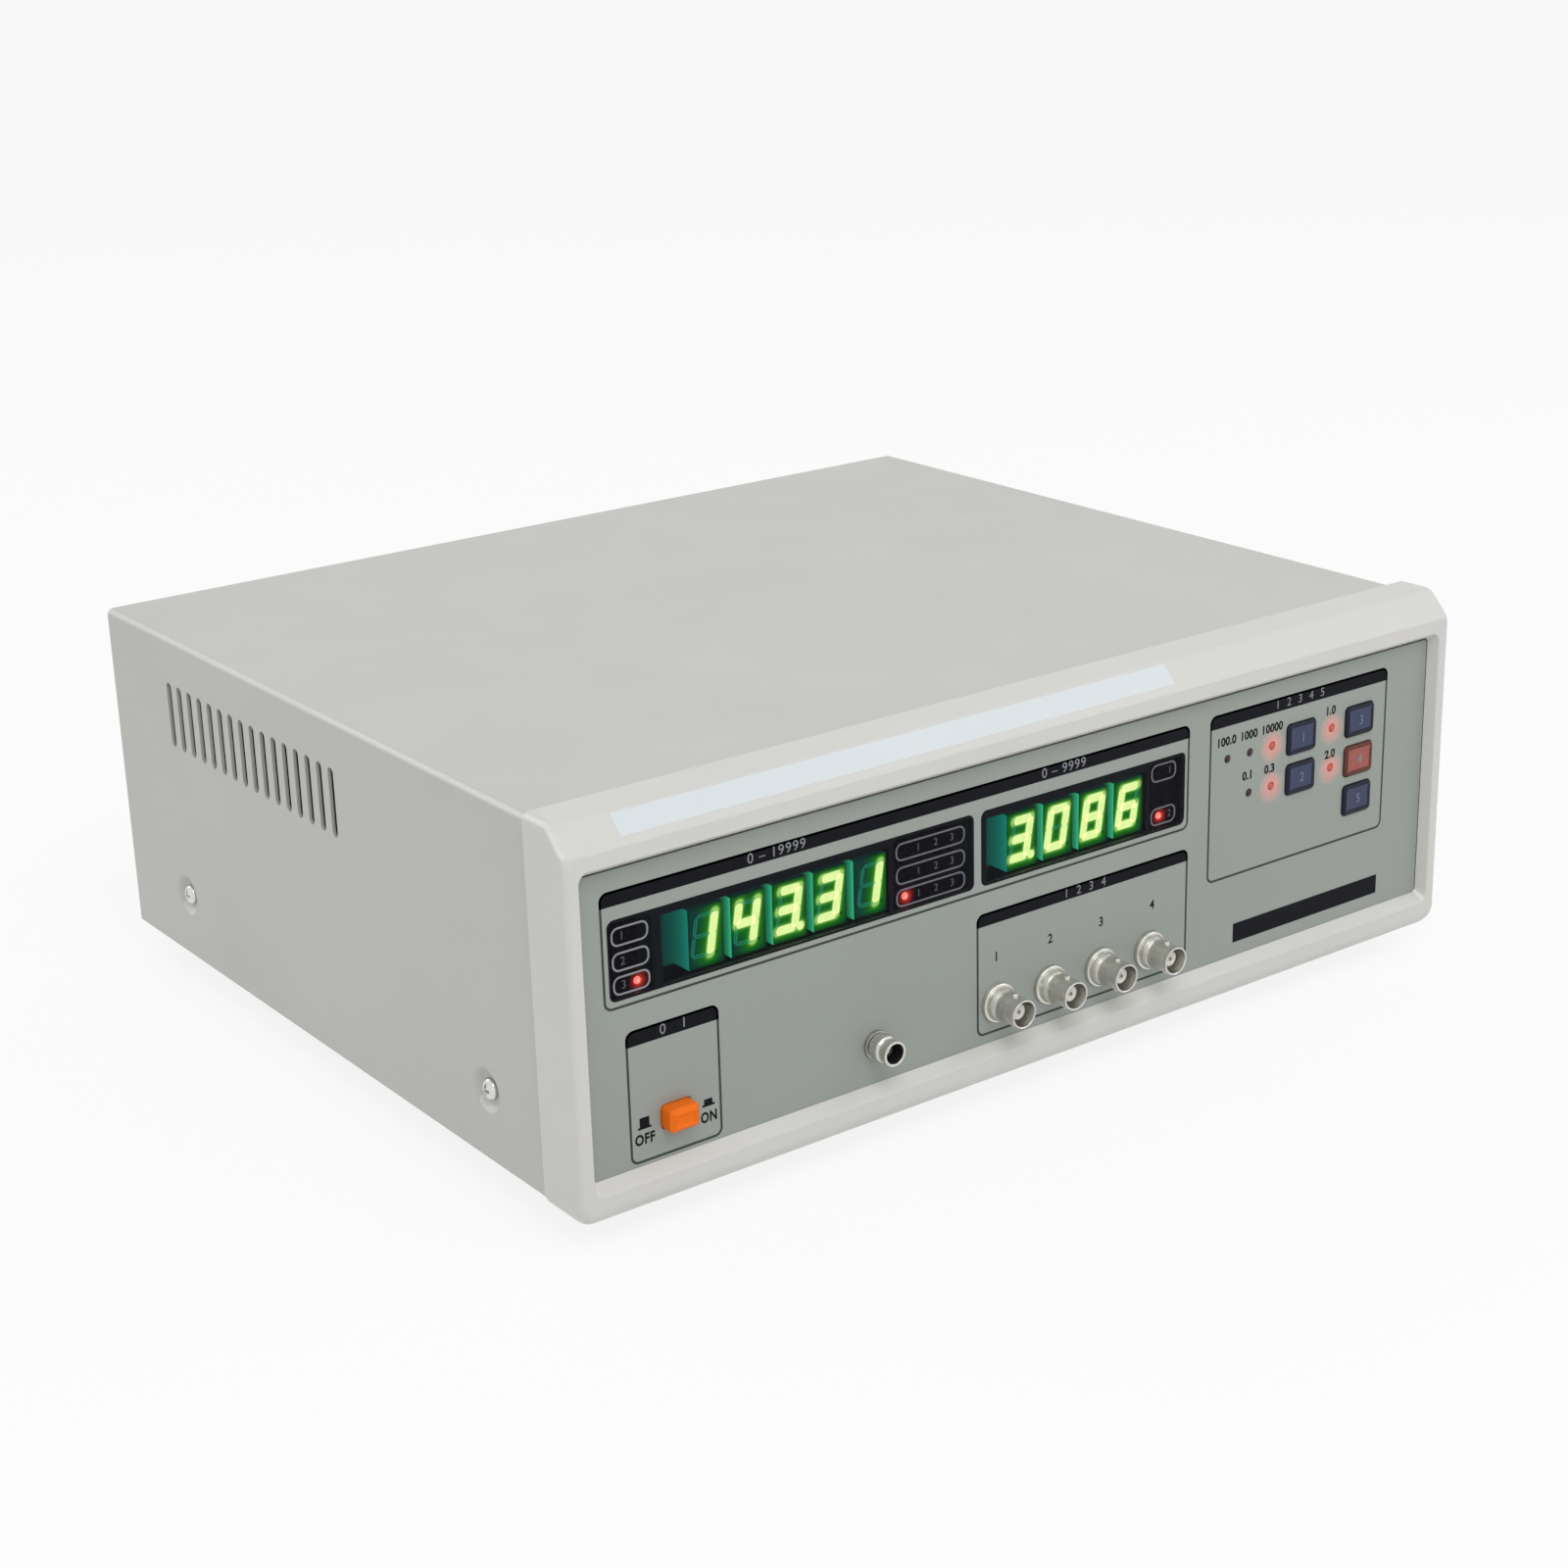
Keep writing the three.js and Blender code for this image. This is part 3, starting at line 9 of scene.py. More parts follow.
import bmesh
import bpy
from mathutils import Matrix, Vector


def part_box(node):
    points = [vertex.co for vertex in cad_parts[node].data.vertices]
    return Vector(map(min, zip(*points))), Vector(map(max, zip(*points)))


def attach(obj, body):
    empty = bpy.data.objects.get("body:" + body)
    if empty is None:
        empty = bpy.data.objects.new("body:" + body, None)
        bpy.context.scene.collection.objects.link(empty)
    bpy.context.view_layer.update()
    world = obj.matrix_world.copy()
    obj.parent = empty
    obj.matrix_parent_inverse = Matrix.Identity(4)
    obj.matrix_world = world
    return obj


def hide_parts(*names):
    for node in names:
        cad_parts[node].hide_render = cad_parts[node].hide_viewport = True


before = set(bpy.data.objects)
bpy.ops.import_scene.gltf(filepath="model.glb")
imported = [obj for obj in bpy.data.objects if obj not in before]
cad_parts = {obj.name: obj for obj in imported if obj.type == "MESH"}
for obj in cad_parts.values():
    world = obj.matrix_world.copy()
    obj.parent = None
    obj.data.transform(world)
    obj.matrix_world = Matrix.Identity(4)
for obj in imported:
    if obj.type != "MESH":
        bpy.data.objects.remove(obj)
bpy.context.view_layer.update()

MM = 0.001
bezel_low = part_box("front_bezel")[0]
ORIGIN = Vector((0, bezel_low.y, bezel_low.z))

# Sizes that the dressed pieces share with the frame
CASE_HALF = 182.49
CASE_TOP = 124.25
SLOPE_RISE = 8.8
SLOPE_RUN = 8.6
OPENING = (-175.99, 12.9, 175.99, 107.95)
RIM = (-177.6, 9.8, 177.6, 110.25)
PANEL_FRONT = 4.1
PANEL_REAR = 6.1
CONTROL_LINE = 26.1
WINDOW_LINE = 79.8
WINDOW_HALF = 12.05
WINDOW_A = (-165.99, -31.63)
WINDOW_B = (-27.63, 59.29)
DIGIT_FACE = 8.1
DIGIT_LINE = 76.9
DIGIT_STARTS = {"a": -136.49, "b": -14.23}
DIGIT_PITCH = 15.24
BOARD_FRONT = 16.1
BLOCK_FRONT = 10.1
KEY_REAR = 11.4
KEY_LEFT, KEY_LOW, KEY_RIGHT, KEY_HIGH = 6.3, 5.8, 7.4, 5.1
RED_KEY = 4
KEYS = ((113.39, 85.6), (113.39, 71.3), (141.99, 85.6), (141.99, 71.3), (141.99, 57.0))
LAMPS = ((79.09, 85.1), (89.59, 85.1), (100.09, 85.1), (89.59, 70.8), (100.09, 70.8),
         (128.99, 85.1), (128.99, 70.8))
LIT_LAMPS = (3, 5, 6, 7)
TERMINALS = (-21.57, 0.43, 22.43, 44.43)
POST = -71.17
POWER = -145.79
COVER_HALF = 180.29
COVER_TOP = 122.05
COVER_BOTTOM = 2.2
SHEET = 1.2
CASE_DEPTH = 307.5
REAR_FACE = 305.0
CLEARANCE = 0.3


def spot(x, y, z):
    """A point of the instrument in the frame's metres."""
    return ORIGIN + Vector((x, y, z)) * MM


def home(point):
    """A point in the frame's metres, back in the instrument's millimetres."""
    return (point - ORIGIN) / MM


# Colours and materials

def linear(colour):
    """A colour as screens write it, from 0 to 255, as Blender's linear values."""
    def channel(value):
        value /= 255
        return value / 12.92 if value <= 0.04045 else ((value + 0.055) / 1.055) ** 2.4
    return tuple(channel(value) for value in colour) + (1.0,)


def shade(colour, factor):
    """A linear colour made lighter or darker."""
    return tuple(min(1.0, channel * factor) for channel in colour[:3]) + (1.0,)


def feed(node, inputs):
    """Set a node's inputs to values, or link them to the outputs given for them."""
    for socket, value in inputs.items():
        if isinstance(value, bpy.types.NodeSocket):
            node.id_data.links.new(value, node.inputs[socket])
        else:
            node.inputs[socket].default_value = value


def add_node(tree, kind, inputs, **settings):
    """A new shader node of a kind, with its inputs fed and its other settings made."""
    made = tree.nodes.new(f"ShaderNode{kind}")
    for key, value in settings.items():
        setattr(made, key, value)
    feed(made, inputs)
    return made


BUMP_DEPTH = 0.0002


def material(name, colour, rough=0.5, metal=0.0, mottle=0.05, patch=60, grain=2500, bump=0.15,
             rough_span=0.08, specular=0.5, glow=None, power=0.0, alpha=1.0, streak=None,
             attribute=None, fleck=0.0):
    """A procedural finish: patches of tone, fine grain in the surface and a varied gloss.

    What it gives off has one colour, glow, or the colours painted on the mesh as an attribute.
    """
    made = bpy.data.materials.new(name)
    made.use_nodes = True
    tree = made.node_tree
    shader = tree.nodes["Principled BSDF"]
    source = add_node(tree, "TexCoord", {}).outputs["Object"]
    if streak:
        source = add_node(tree, "Mapping", {"Vector": source, "Scale": streak}).outputs["Vector"]

    def noise(scale, detail):
        return add_node(tree, "TexNoise", {"Vector": source, "Scale": scale,
                                           "Detail": detail}).outputs["Fac"]

    def ranged(value, limits):
        return add_node(tree, "MapRange", {"Value": value, **limits}).outputs["Result"]

    def mixed(factor, first, second):
        return add_node(tree, "Mix", {"Factor": factor, "A": first, "B": second},
                        data_type="RGBA").outputs["Result"]

    base = linear(colour)
    tone = ranged(noise(patch, 5), {"From Min": 0.3, "From Max": 0.7})
    paint = mixed(tone, shade(base, 1 - mottle), shade(base, 1 + mottle))
    if fleck:
        speck = ranged(noise(grain * 0.4, 2), {"From Min": 0.58, "From Max": 0.72})
        paint = mixed(speck, paint, shade(base, 1 - fleck))
    gloss = ranged(noise(patch * 2.5, 4), {"To Min": max(0.02, rough - rough_span),
                                           "To Max": min(1.0, rough + rough_span)})
    feed(shader, {"Base Color": paint, "Roughness": gloss, "Metallic": metal,
                  "Specular IOR Level": specular, "Alpha": alpha})
    if bump:
        relief = add_node(tree, "Bump", {"Height": noise(grain, 3), "Strength": bump,
                                         "Distance": BUMP_DEPTH})
        feed(shader, {"Normal": relief.outputs["Normal"]})
    if attribute:
        painted = add_node(tree, "Attribute", {}, attribute_name=attribute).outputs
        feed(shader, {"Emission Color": painted["Color"], "Emission Strength": power})
        if alpha < 1:
            feed(shader, {"Alpha": painted["Alpha"]})
    elif glow:
        warm = mixed(tone, shade(linear(glow), 0.9), linear(glow))
        feed(shader, {"Emission Color": warm, "Emission Strength": power})
    return made


def family(**shared):
    """A maker of materials that have some settings in common."""
    return lambda name, colour, **own: material(name, colour, **{**shared, **own})


FRAME_GREY = material(
    "frame_grey", (208, 207, 203), 0.4, mottle=0.012, patch=25, grain=5000, bump=0.18)
COVER_GREY = material(
    "cover_grey", (191, 191, 186), 0.4, mottle=0.015, patch=14, grain=1500, bump=0.22)
# A lighter copy of the cover paint, for a painted highlight along its top folds
COVER_FOLD_HIGHLIGHT = material("cover_painted_highlight", (212, 211, 206), 0.36, mottle=0.02, patch=14, grain=1500)
# A lighter copy of the frame paint, for a painted highlight along its rounded top corners
FRAME_FOLD_HIGHLIGHT = material(
    "frame_painted_highlight", (222, 221, 217), 0.36, mottle=0.015, patch=25, grain=5000, bump=0.12)
PANEL_GREEN = material(
    "panel_green", (149, 155, 149), 0.42, mottle=0.015, patch=22, grain=3500, bump=0.12)
ZINC = material(
    "zinc_plate", (168, 168, 165), 0.34, metal=0.9, mottle=0.1, patch=90, grain=1200, bump=0.1)
SCREW = material(
    "screw_plate", (214, 214, 211), 0.16, metal=1.0, mottle=0.06, patch=200, grain=2600, bump=0.05,
    rough_span=0.05)
# Dark grey for the painted shadow round the panel's edge in the opening
OPENING_SHADOW = material("opening_painted_shadow", (74, 76, 70), 0.7, mottle=0.1, patch=150, bump=0.05, specular=0.1)
RUBBER = material("foot_rubber", (34, 34, 35), 0.85, mottle=0.15, patch=120, grain=3000, bump=0.3)
FILTER = material(
    "filter_acrylic", (15, 14, 21), 0.08, mottle=0.04, bump=0.02, rough_span=0.03, specular=0.08,
    alpha=0.6)
BLACK = material(
    "black_plastic", (26, 26, 28), mottle=0.12, grain=3500, bump=0.25, specular=0.35)
BLOCK_BLACK = material(
    "block_black", (20, 18, 22), 0.6, mottle=0.12, grain=3500, bump=0.2, specular=0.1)
BOARD = material(
    "board_green", (32, 84, 52), 0.4, mottle=0.18, patch=220, grain=900, bump=0.3, fleck=0.35)
key_plastic = family(mottle=0.06, patch=200, grain=4500, bump=0.25, specular=0.2)
KEY_BLUE = key_plastic("key_blue", (62, 69, 96))
# Darker copies of the key plastics, painted shade round the rims and sides of the caps
KEY_BLUE_SHADE = key_plastic("key_edge", (27, 31, 46))
KEY_RED = key_plastic("key_red", (160, 92, 84))
KEY_RED_SHADE = key_plastic("key_red_edge", (98, 56, 50))
NICKEL = material(
    "nickel_brass", (188, 186, 178), 0.24, metal=1.0, mottle=0.07, patch=350, grain=2600, bump=0.05,
    rough_span=0.07)
TURNED = material(
    "turned_nickel", (214, 212, 204), 0.3, metal=1.0, mottle=0.12, patch=300, grain=3000, bump=1.0,
    streak=(0.08, 1.0, 0.08))
WHITE_PLASTIC = material("white_plastic", (228, 226, 220), mottle=0.04)
ORANGE = material(
    "button_orange", (240, 112, 2), 0.4, mottle=0.04, patch=160, grain=4000, bump=0.2, specular=0.2)
GLASS = material("fuse_glass", (205, 212, 210), 0.08, mottle=0.03, bump=0.02, alpha=0.45)
CORE_STEEL = material(
    "core_steel", (104, 102, 98), metal=0.7, mottle=0.15, grain=1500, bump=0.4,
    streak=(1, 14, 1))
COIL = material(
    "coil_wrap", (196, 156, 70), 0.45, mottle=0.1, patch=80, grain=900, bump=0.3, streak=(1, 1, 6))
ALUMINIUM = material(
    "sink_aluminium", (150, 152, 154), 0.35, metal=0.95, mottle=0.08, grain=1800,
    streak=(1, 1, 0.05))
ink = family(mottle=0.08, patch=150, bump=0.05, specular=0.2)
INK_BLACK = ink("ink_black", (17, 18, 24), bump=0.08, specular=0.08)
INK_LINE = ink("ink_line", (58, 66, 62))
INK_PALE = ink("ink_pale", (136, 138, 142), mottle=0.05)
INK_PILL = ink("ink_pill", (140, 140, 146), mottle=0.06)
INK_PILL_DIM = ink("ink_pill_dim", (104, 104, 112), mottle=0.06)
INK_DIM = ink("ink_dim", (86, 88, 98))
INK_KEY = ink("ink_key", (104, 112, 140))
LABEL = material("bare_label", (212, 219, 222), 0.35, mottle=0.012, patch=40, bump=0.06)
lamp_plastic = family(rough=0.3, patch=400, bump=0.05, specular=0.3)
RED_DARK = lamp_plastic("lamp_dark", (56, 34, 34), mottle=0.1)
RED_LIT = lamp_plastic("lamp_lit", (150, 52, 46), glow=(190, 96, 84), power=0.55)
CHIP_LIT = lamp_plastic("chip_lit", (235, 120, 110), specular=0.5, glow=(255, 150, 134), power=9.0)
segment_light = family(mottle=0.08, patch=500, bump=0.05, specular=0.1)
SEGMENT_LIT = segment_light(
    "segment_lit", (220, 250, 150), rough=0.4, mottle=0.03, bump=0.03, glow=(232, 255, 168),
    power=6.0)
# Unlit segments, their dots and their edges are no lamps: the glow of these two finishes is painted
# light
SEGMENT_DARK = segment_light("segment_dark", (6, 40, 34), glow=(4, 92, 50), power=2.0)
SEGMENT_EDGE = segment_light(
    "segment_edge", (24, 110, 92), rough=0.4, glow=(40, 150, 124), power=5.0)
MODULE = material(
    "module_body", (4, 34, 30), mottle=0.08, patch=200, bump=0.1, specular=0.1, attribute="glow",
    power=5.5)
lamplight = family(mottle=0.03, patch=200, bump=0.03, attribute="glow", alpha=0.9)
HALO = lamplight("lamp_halo", (224, 158, 148), specular=0.2, power=1.0)
CHIP_HALO = lamplight("chip_halo", (30, 4, 5), specular=0.05, power=4.5)


# Shapes: lists of points and faces, in the instrument's millimetres

def merged(shapes):
    """Several shapes as one list of points and one of faces."""
    points, faces = [], []
    for more_points, more_faces in shapes:
        first = len(points)
        points += more_points
        faces += [tuple(first + i for i in face) for face in more_faces]
    return points, faces


LEAST_RADIUS = 0.05


def rounded(left, bottom, right, top, radii, steps=8):
    """Points round a rectangle, with one radius, or one each for its lower right, upper right,
    upper left and lower left corners."""
    if not isinstance(radii, tuple):
        radii = (radii,) * 4
    corners = ((right, bottom, -1, 1, -90), (right, top, -1, -1, 0),
               (left, top, 1, -1, 90), (left, bottom, 1, 1, 180))
    points = []
    for (x, z, inward, upward, start), radius in zip(corners, radii):
        for i in range(steps + 1):
            angle = radians(start + 90 * i / steps)
            points.append((x + inward * radius + radius * cos(angle),
                           z + upward * radius + radius * sin(angle)))
    return points


def grown(box, by):
    """A box made larger by the same on every side."""
    return (box[0] - by, box[1] - by, box[2] + by, box[3] + by)


def loft(rings, ends=True, closed=False):
    """A skin over rings of as many points each, with flat ends or back to the first ring."""
    count = len(rings[0])
    points = [point for ring in rings for point in ring]
    faces = []
    last = len(rings) if closed else len(rings) - 1
    for r in range(last):
        near, far = r * count, (r + 1) % len(rings) * count
        for i in range(count):
            j = (i + 1) % count
            faces.append((near + i, near + j, far + j, far + i))
    if ends and not closed:
        faces.append(tuple(range(count - 1, -1, -1)))
        faces.append(tuple(range((len(rings) - 1) * count, len(rings) * count)))
    return points, faces


def at_depth(outline, y):
    return [(x, y, z) for x, z in outline]


def block(box, stages, radius):
    """A rounded bar along Y. Each stage is a depth and how far its outline stands outside box."""
    return loft([at_depth(rounded(*grown(box, by), max(LEAST_RADIUS, radius + by), 6), y)
                 for y, by in stages])


def disc(radius, x, z, sides=32, wave=None):
    """Points round a circle, whose radius a function of the angle may add to."""
    points = []
    for i in range(sides):
        angle = 2 * pi * i / sides
        reach = radius + (wave(angle) if wave else 0)
        points.append((x + reach * cos(angle), z + reach * sin(angle)))
    return points


def lathe(profile, x, z, sides=48, closed=False, waves=None):
    """Radii and depths turned about an axis along Y, into a solid or, when closed, into a ring.

    Waves are functions that vary the radius round the circle, by their place in the profile.
    """
    return loft([at_depth(disc(radius, x, z, sides, (waves or {}).get(k)), y)
                 for k, (radius, y) in enumerate(profile)], closed=closed)


def turned(shape, x, y, z, axis):
    """A shape made along Y about the origin, with its far end turned to an axis and set at x, y, z."""
    turn = Vector((0, 1, 0)).rotation_difference(Vector(axis))
    points = [tuple(turn @ Vector(point) + Vector((x, y, z))) for point in shape[0]]
    return points, shape[1]


def placed(name, data):
    """A new object in the scene."""
    made = bpy.data.objects.new(name, data)
    bpy.context.scene.collection.objects.link(made)
    return made


def final_mesh(made):
    """A new mesh of an object as its modifiers leave it."""
    bpy.context.view_layer.update()
    return bpy.data.meshes.new_from_object(
        made.evaluated_get(bpy.context.evaluated_depsgraph_get()))


def from_curve(curve, front, back):
    """A flat curve's mesh, standing between two depths."""
    holder = placed("draft", curve)
    mesh = final_mesh(holder)
    middle = (front + back) / 2
    points = [(v.co.x, middle - v.co.z, v.co.y) for v in mesh.vertices]
    faces = [tuple(face.vertices) for face in mesh.polygons]
    bpy.data.objects.remove(holder)
    bpy.data.meshes.remove(mesh)
    bpy.data.curves.remove(curve)
    return points, faces


def plate(loops, front, back):
    """A plate with holes: its first loop is the outside."""
    curve = bpy.data.curves.new("draft", "CURVE")
    curve.dimensions = "2D"
    curve.fill_mode = "BOTH"
    curve.extrude = (back - front) / 2
    for loop in loops:
        spline = curve.splines.new("POLY")
        spline.points.add(len(loop) - 1)
        for point, (x, z) in zip(spline.points, loop):
            point.co = (x, z, 0, 1)
        spline.use_cyclic_u = True
    return from_curve(curve, front, back)


def words(text, x, z, size, front, back, spread=1.0, narrow=1.0, weight=0.0):
    """Raised lettering about a middle, as plain solid shapes."""
    curve = bpy.data.curves.new("draft", "FONT")
    curve.body = text
    curve.size = size
    curve.space_character = spread
    curve.align_x = "CENTER"
    curve.align_y = "CENTER"
    curve.offset = weight
    curve.extrude = (back - front) / 2
    points, faces = from_curve(curve, front, back)
    return [(px * narrow + x, py, pz + z) for px, py, pz in points], faces


# Pieces

WELD_REACH = 1e-7


def clean(mesh, sharp):
    """Welds a mesh's points, turns its faces outwards and smooths it up to an angle."""
    work = bmesh.new()
    work.from_mesh(mesh)
    bmesh.ops.remove_doubles(work, verts=work.verts, dist=WELD_REACH)
    bmesh.ops.dissolve_degenerate(work, edges=work.edges, dist=WELD_REACH)
    bmesh.ops.recalc_face_normals(work, faces=work.faces)
    work.to_mesh(mesh)
    work.free()
    mesh.shade_smooth()
    mesh.set_sharp_from_angle(angle=radians(sharp))


def draft(name, shape, sharp=32):
    mesh = bpy.data.meshes.new(name)
    mesh.from_pydata([spot(*point) for point in shape[0]], [], shape[1])
    clean(mesh, sharp)
    return placed(name, mesh)


def settle(made):
    """Applies what modifiers a piece has."""
    mesh, old = final_mesh(made), made.data
    made.modifiers.clear()
    made.data = mesh
    bpy.data.meshes.remove(old)


def dress(made, finish, body, replaces=(), weighted=True):
    """Gives a piece its finish and its body, and hides the CAD nodes it stands for."""
    made.data.materials.clear()
    made.data.materials.append(finish)
    if weighted:
        even = made.modifiers.new("even", "WEIGHTED_NORMAL")
        even.keep_sharp = True
        settle(made)
    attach(made, body)
    if replaces:
        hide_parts(*replaces)
    return made


FOLD_LEAN = 0.42


def on_fold(face):
    """Whether a face belongs to a rounded edge between a side and the top, which gets a painted
    highlight.
    """
    return abs(face.normal.x) > FOLD_LEAN and face.normal.z > FOLD_LEAN


def repaint(made, finish, chosen):
    """Give a second finish to the faces that a test picks."""
    made.data.materials.append(finish)
    for face in made.data.polygons:
        if chosen(face):
            face.material_index = len(made.data.materials) - 1


def piece(name, shape, finish, body="case", replaces=(), sharp=32):
    return dress(draft(name, shape, sharp), finish, body, replaces)


def paint_light(made, light):
    """Paint what each corner gives off, by a function of its place and its face's direction."""
    mesh = made.data
    paint = mesh.color_attributes.new("glow", "FLOAT_COLOR", "CORNER").data
    for face in mesh.polygons:
        for corner in face.loop_indices:
            place = home(mesh.vertices[mesh.loops[corner].vertex_index].co)
            paint[corner].color = light(place, face.normal)


def carve(made, shape, operation="DIFFERENCE"):
    """Cuts a shape out of a piece, or joins it on."""
    cutter = draft("cutter", shape)
    change = made.modifiers.new("carve", "BOOLEAN")
    change.operation = operation
    change.solver = "EXACT"
    change.object = cutter
    settle(made)
    bpy.data.objects.remove(cutter)


def soften(made, width):
    """Rounds a made piece's sharp edges a little."""
    bevel = made.modifiers.new("soften", "BEVEL")
    bevel.width = width * MM
    bevel.segments = 2
    bevel.limit_method = "ANGLE"
    bevel.angle_limit = radians(35)
    bevel.miter_outer = "MITER_ARC"
    settle(made)
    made.data.shade_smooth()
    made.data.set_sharp_from_angle(angle=radians(40))


# Front frame: rings from its back edge over the brow, in through the opening and back

FACE_EDGE, LOWER_EDGE, UPPER_EDGE = 2.2, 6.0, 2.7
CREST, LIP, EASING = 1.6, 0.9, 0.9
FRAME_DEPTHS = (20.5, 20.35, 11, 10.2, 9.6, 9.1, 8.6, 8.1, 7.6, 7.0, 6, 5, 4.1, 3.3, 2.6, 2.2, 1.8,
                1.4, 1.05, 0.75, 0.5, 0.3, 0.15, 0.05, 0)
# Depths of the rings in the opening, and how far each stands outside the plain flare
FLARE_DEPTH = 4
FLARE_STAGES = ((0, 0.5), (0.02, 0.25), (0.12, 0.08), (0.3, 0), (1.5, 0), (2.8, 0), (3.8, 0),
                (FLARE_DEPTH, 0))
RIM_RADIUS, OPENING_RADIUS, CAVITY_RADIUS, FRAME_STEPS = 3.4, 1.8, 1.5, 10
FRAME_WALL, BACK_WALL = 3.8, 1.9
# Depths and tops of the cavity behind the opening, then depths and growth of the back edge
CAVITY_STAGES = ((FLARE_DEPTH, 114.1), (10.2, 120.45), (17.7, 120.45))
BACK_STAGES = ((17.7, 0), (20.3, 0), (20.5, 0.2))


def round_in(y, radius):
    """How far an edge of a radius has come in at a depth from its face."""
    return 0.0 if y >= radius else radius - sqrt(radius ** 2 - (radius - y) ** 2)


def frame_section(y):
    """The frame's box and radii at a depth, with the brow's slope and its eased crest and lip."""
    side = CASE_HALF - round_in(y, FACE_EDGE)
    bottom = round_in(y, LOWER_EDGE)
    top = min(CASE_TOP, CASE_TOP - SLOPE_RISE + SLOPE_RISE * y / SLOPE_RUN)
    gap = abs(y - SLOPE_RUN)
    if gap < CREST:
        top -= (CREST - gap) ** 2 / (4 * CREST) * EASING
    if y < LIP:
        top -= (LIP - y) ** 2 / (2 * LIP) * EASING
    lower = max(2.4, LOWER_EDGE - 0.6 * bottom)
    return y, (-side, bottom, side, top), (lower, UPPER_EDGE, UPPER_EDGE, lower)


def front_frame():
    sections = [frame_section(y) for y in FRAME_DEPTHS]
    for y, by in FLARE_STAGES:
        share = y / FLARE_DEPTH
        box = [rim + (opening - rim) * share for rim, opening in zip(RIM, OPENING)]
        sections.append((y, grown(box, by), RIM_RADIUS + (OPENING_RADIUS - RIM_RADIUS) * share + by))
    half = CASE_HALF - FRAME_WALL
    sections += [(y, (-half, FRAME_WALL, half, top), CAVITY_RADIUS) for y, top in CAVITY_STAGES]
    half = CASE_HALF - BACK_WALL
    back_box = (-half, FRAME_WALL, half, CASE_TOP - BACK_WALL)
    sections += [(y, grown(back_box, by), UPPER_EDGE + by) for y, by in BACK_STAGES]
    return loft([at_depth(rounded(*box, radii, FRAME_STEPS), y) for y, box, radii in sections],
                closed=True)


front = piece("front_frame", front_frame(), FRAME_GREY, replaces=["front_bezel"],
              sharp=38)
# The frame's rounded top corners take the lighter paint as a painted highlight
repaint(front, FRAME_FOLD_HIGHLIGHT, on_fold)

# The bare label strip on the brow
slope = Vector((0, SLOPE_RUN, SLOPE_RISE)).normalized()
outward = Vector((0, -SLOPE_RISE, SLOPE_RUN)).normalized()
slope_foot = Vector((0, 0, CASE_TOP - SLOPE_RISE))


def on_slope(outline, height):
    """Points of an outline drawn on the brow, in X and up the slope."""
    return [tuple(Vector((x, 0, 0)) + slope_foot + slope * up + outward * height)
            for x, up in outline]


label_box = (-162, 2.6, 52, 10.4)
label_rings = [(label_box, 0.6, -0.05), (label_box, 0.6, 0.06), (grown(label_box, -0.08), 0.55, 0.1)]
piece("brow_label", loft([on_slope(rounded(*box, radius), height)
                          for box, radius, height in label_rings]), LABEL)

# Front panel
panel_box = (-178.39, 4.1, 178.39, 113.8)
POWER_HALF_W, POWER_HALF_H = 5.3, 3.8
WINDOW_CORNER, POWER_CORNER = 1.9, 1.8
LAMP_HOLE, TERMINAL_HOLE, POST_HOLE = 1.45, 5.2, 2.9
window_boxes = [(left, WINDOW_LINE - WINDOW_HALF, right, WINDOW_LINE + WINDOW_HALF)
                for left, right in (WINDOW_A, WINDOW_B)]
key_boxes = [(x - KEY_LEFT, z - KEY_LOW, x + KEY_RIGHT, z + KEY_HIGH) for x, z in KEYS]
power_box = (POWER - POWER_HALF_W, CONTROL_LINE - POWER_HALF_H,
             POWER + POWER_HALF_W, CONTROL_LINE + POWER_HALF_H)
holes = [rounded(*grown(box, CLEARANCE), WINDOW_CORNER, 6) for box in window_boxes + key_boxes]
holes += [rounded(*grown(power_box, CLEARANCE), POWER_CORNER, 6)]
holes += [disc(LAMP_HOLE, x, z, 24) for x, z in LAMPS]
holes += [disc(TERMINAL_HOLE, x, CONTROL_LINE, 40) for x in TERMINALS]
holes += [disc(POST_HOLE, POST, CONTROL_LINE)]
panel_parts = [plate([rounded(*panel_box, 1)] + holes, PANEL_FRONT, PANEL_REAR)]
stud_places = [(x, z) for x in (-164.99, 155.59) for z in (52.1, 105.1)]
stud_places += [(69.19, 105.1), (-21.57, 52.1)]
stud_front = PANEL_REAR - 0.2
stud_profile = [(0, stud_front), (2.5, stud_front), (2.5, BOARD_FRONT), (0, BOARD_FRONT)]
panel_parts += [lathe(stud_profile, x, z, 24) for x, z in stud_places]
piece("panel", merged(panel_parts), PANEL_GREEN, replaces=["front_panel"])

# Window panes
for name, box in zip("ab", window_boxes):
    pane = block(box, ((4.1, -0.3), (4.14, -0.14), (4.3, 0), (6.2, 0), (6.2, 1.5), (7.2, 1.5)), 1.6)
    piece(f"pane_{name}", pane, FILTER, replaces=[f"window_{name}"])

# Prints on the panel
INK_FRONT, INK_BACK = PANEL_FRONT - 0.03, PANEL_FRONT + 0.02


def strip(left, bottom, right, top, radii=0.1):
    return plate([rounded(left, bottom, right, top, radii)], INK_FRONT, INK_BACK)


def stroke(box, radius, width):
    """The printed outline of a rounded rectangle."""
    outer = rounded(*box, radius)
    inner = rounded(*grown(box, -width), radius - width)
    return loft([at_depth(outer, INK_FRONT), at_depth(outer, INK_BACK),
                 at_depth(inner, INK_BACK), at_depth(inner, INK_FRONT)], closed=True)


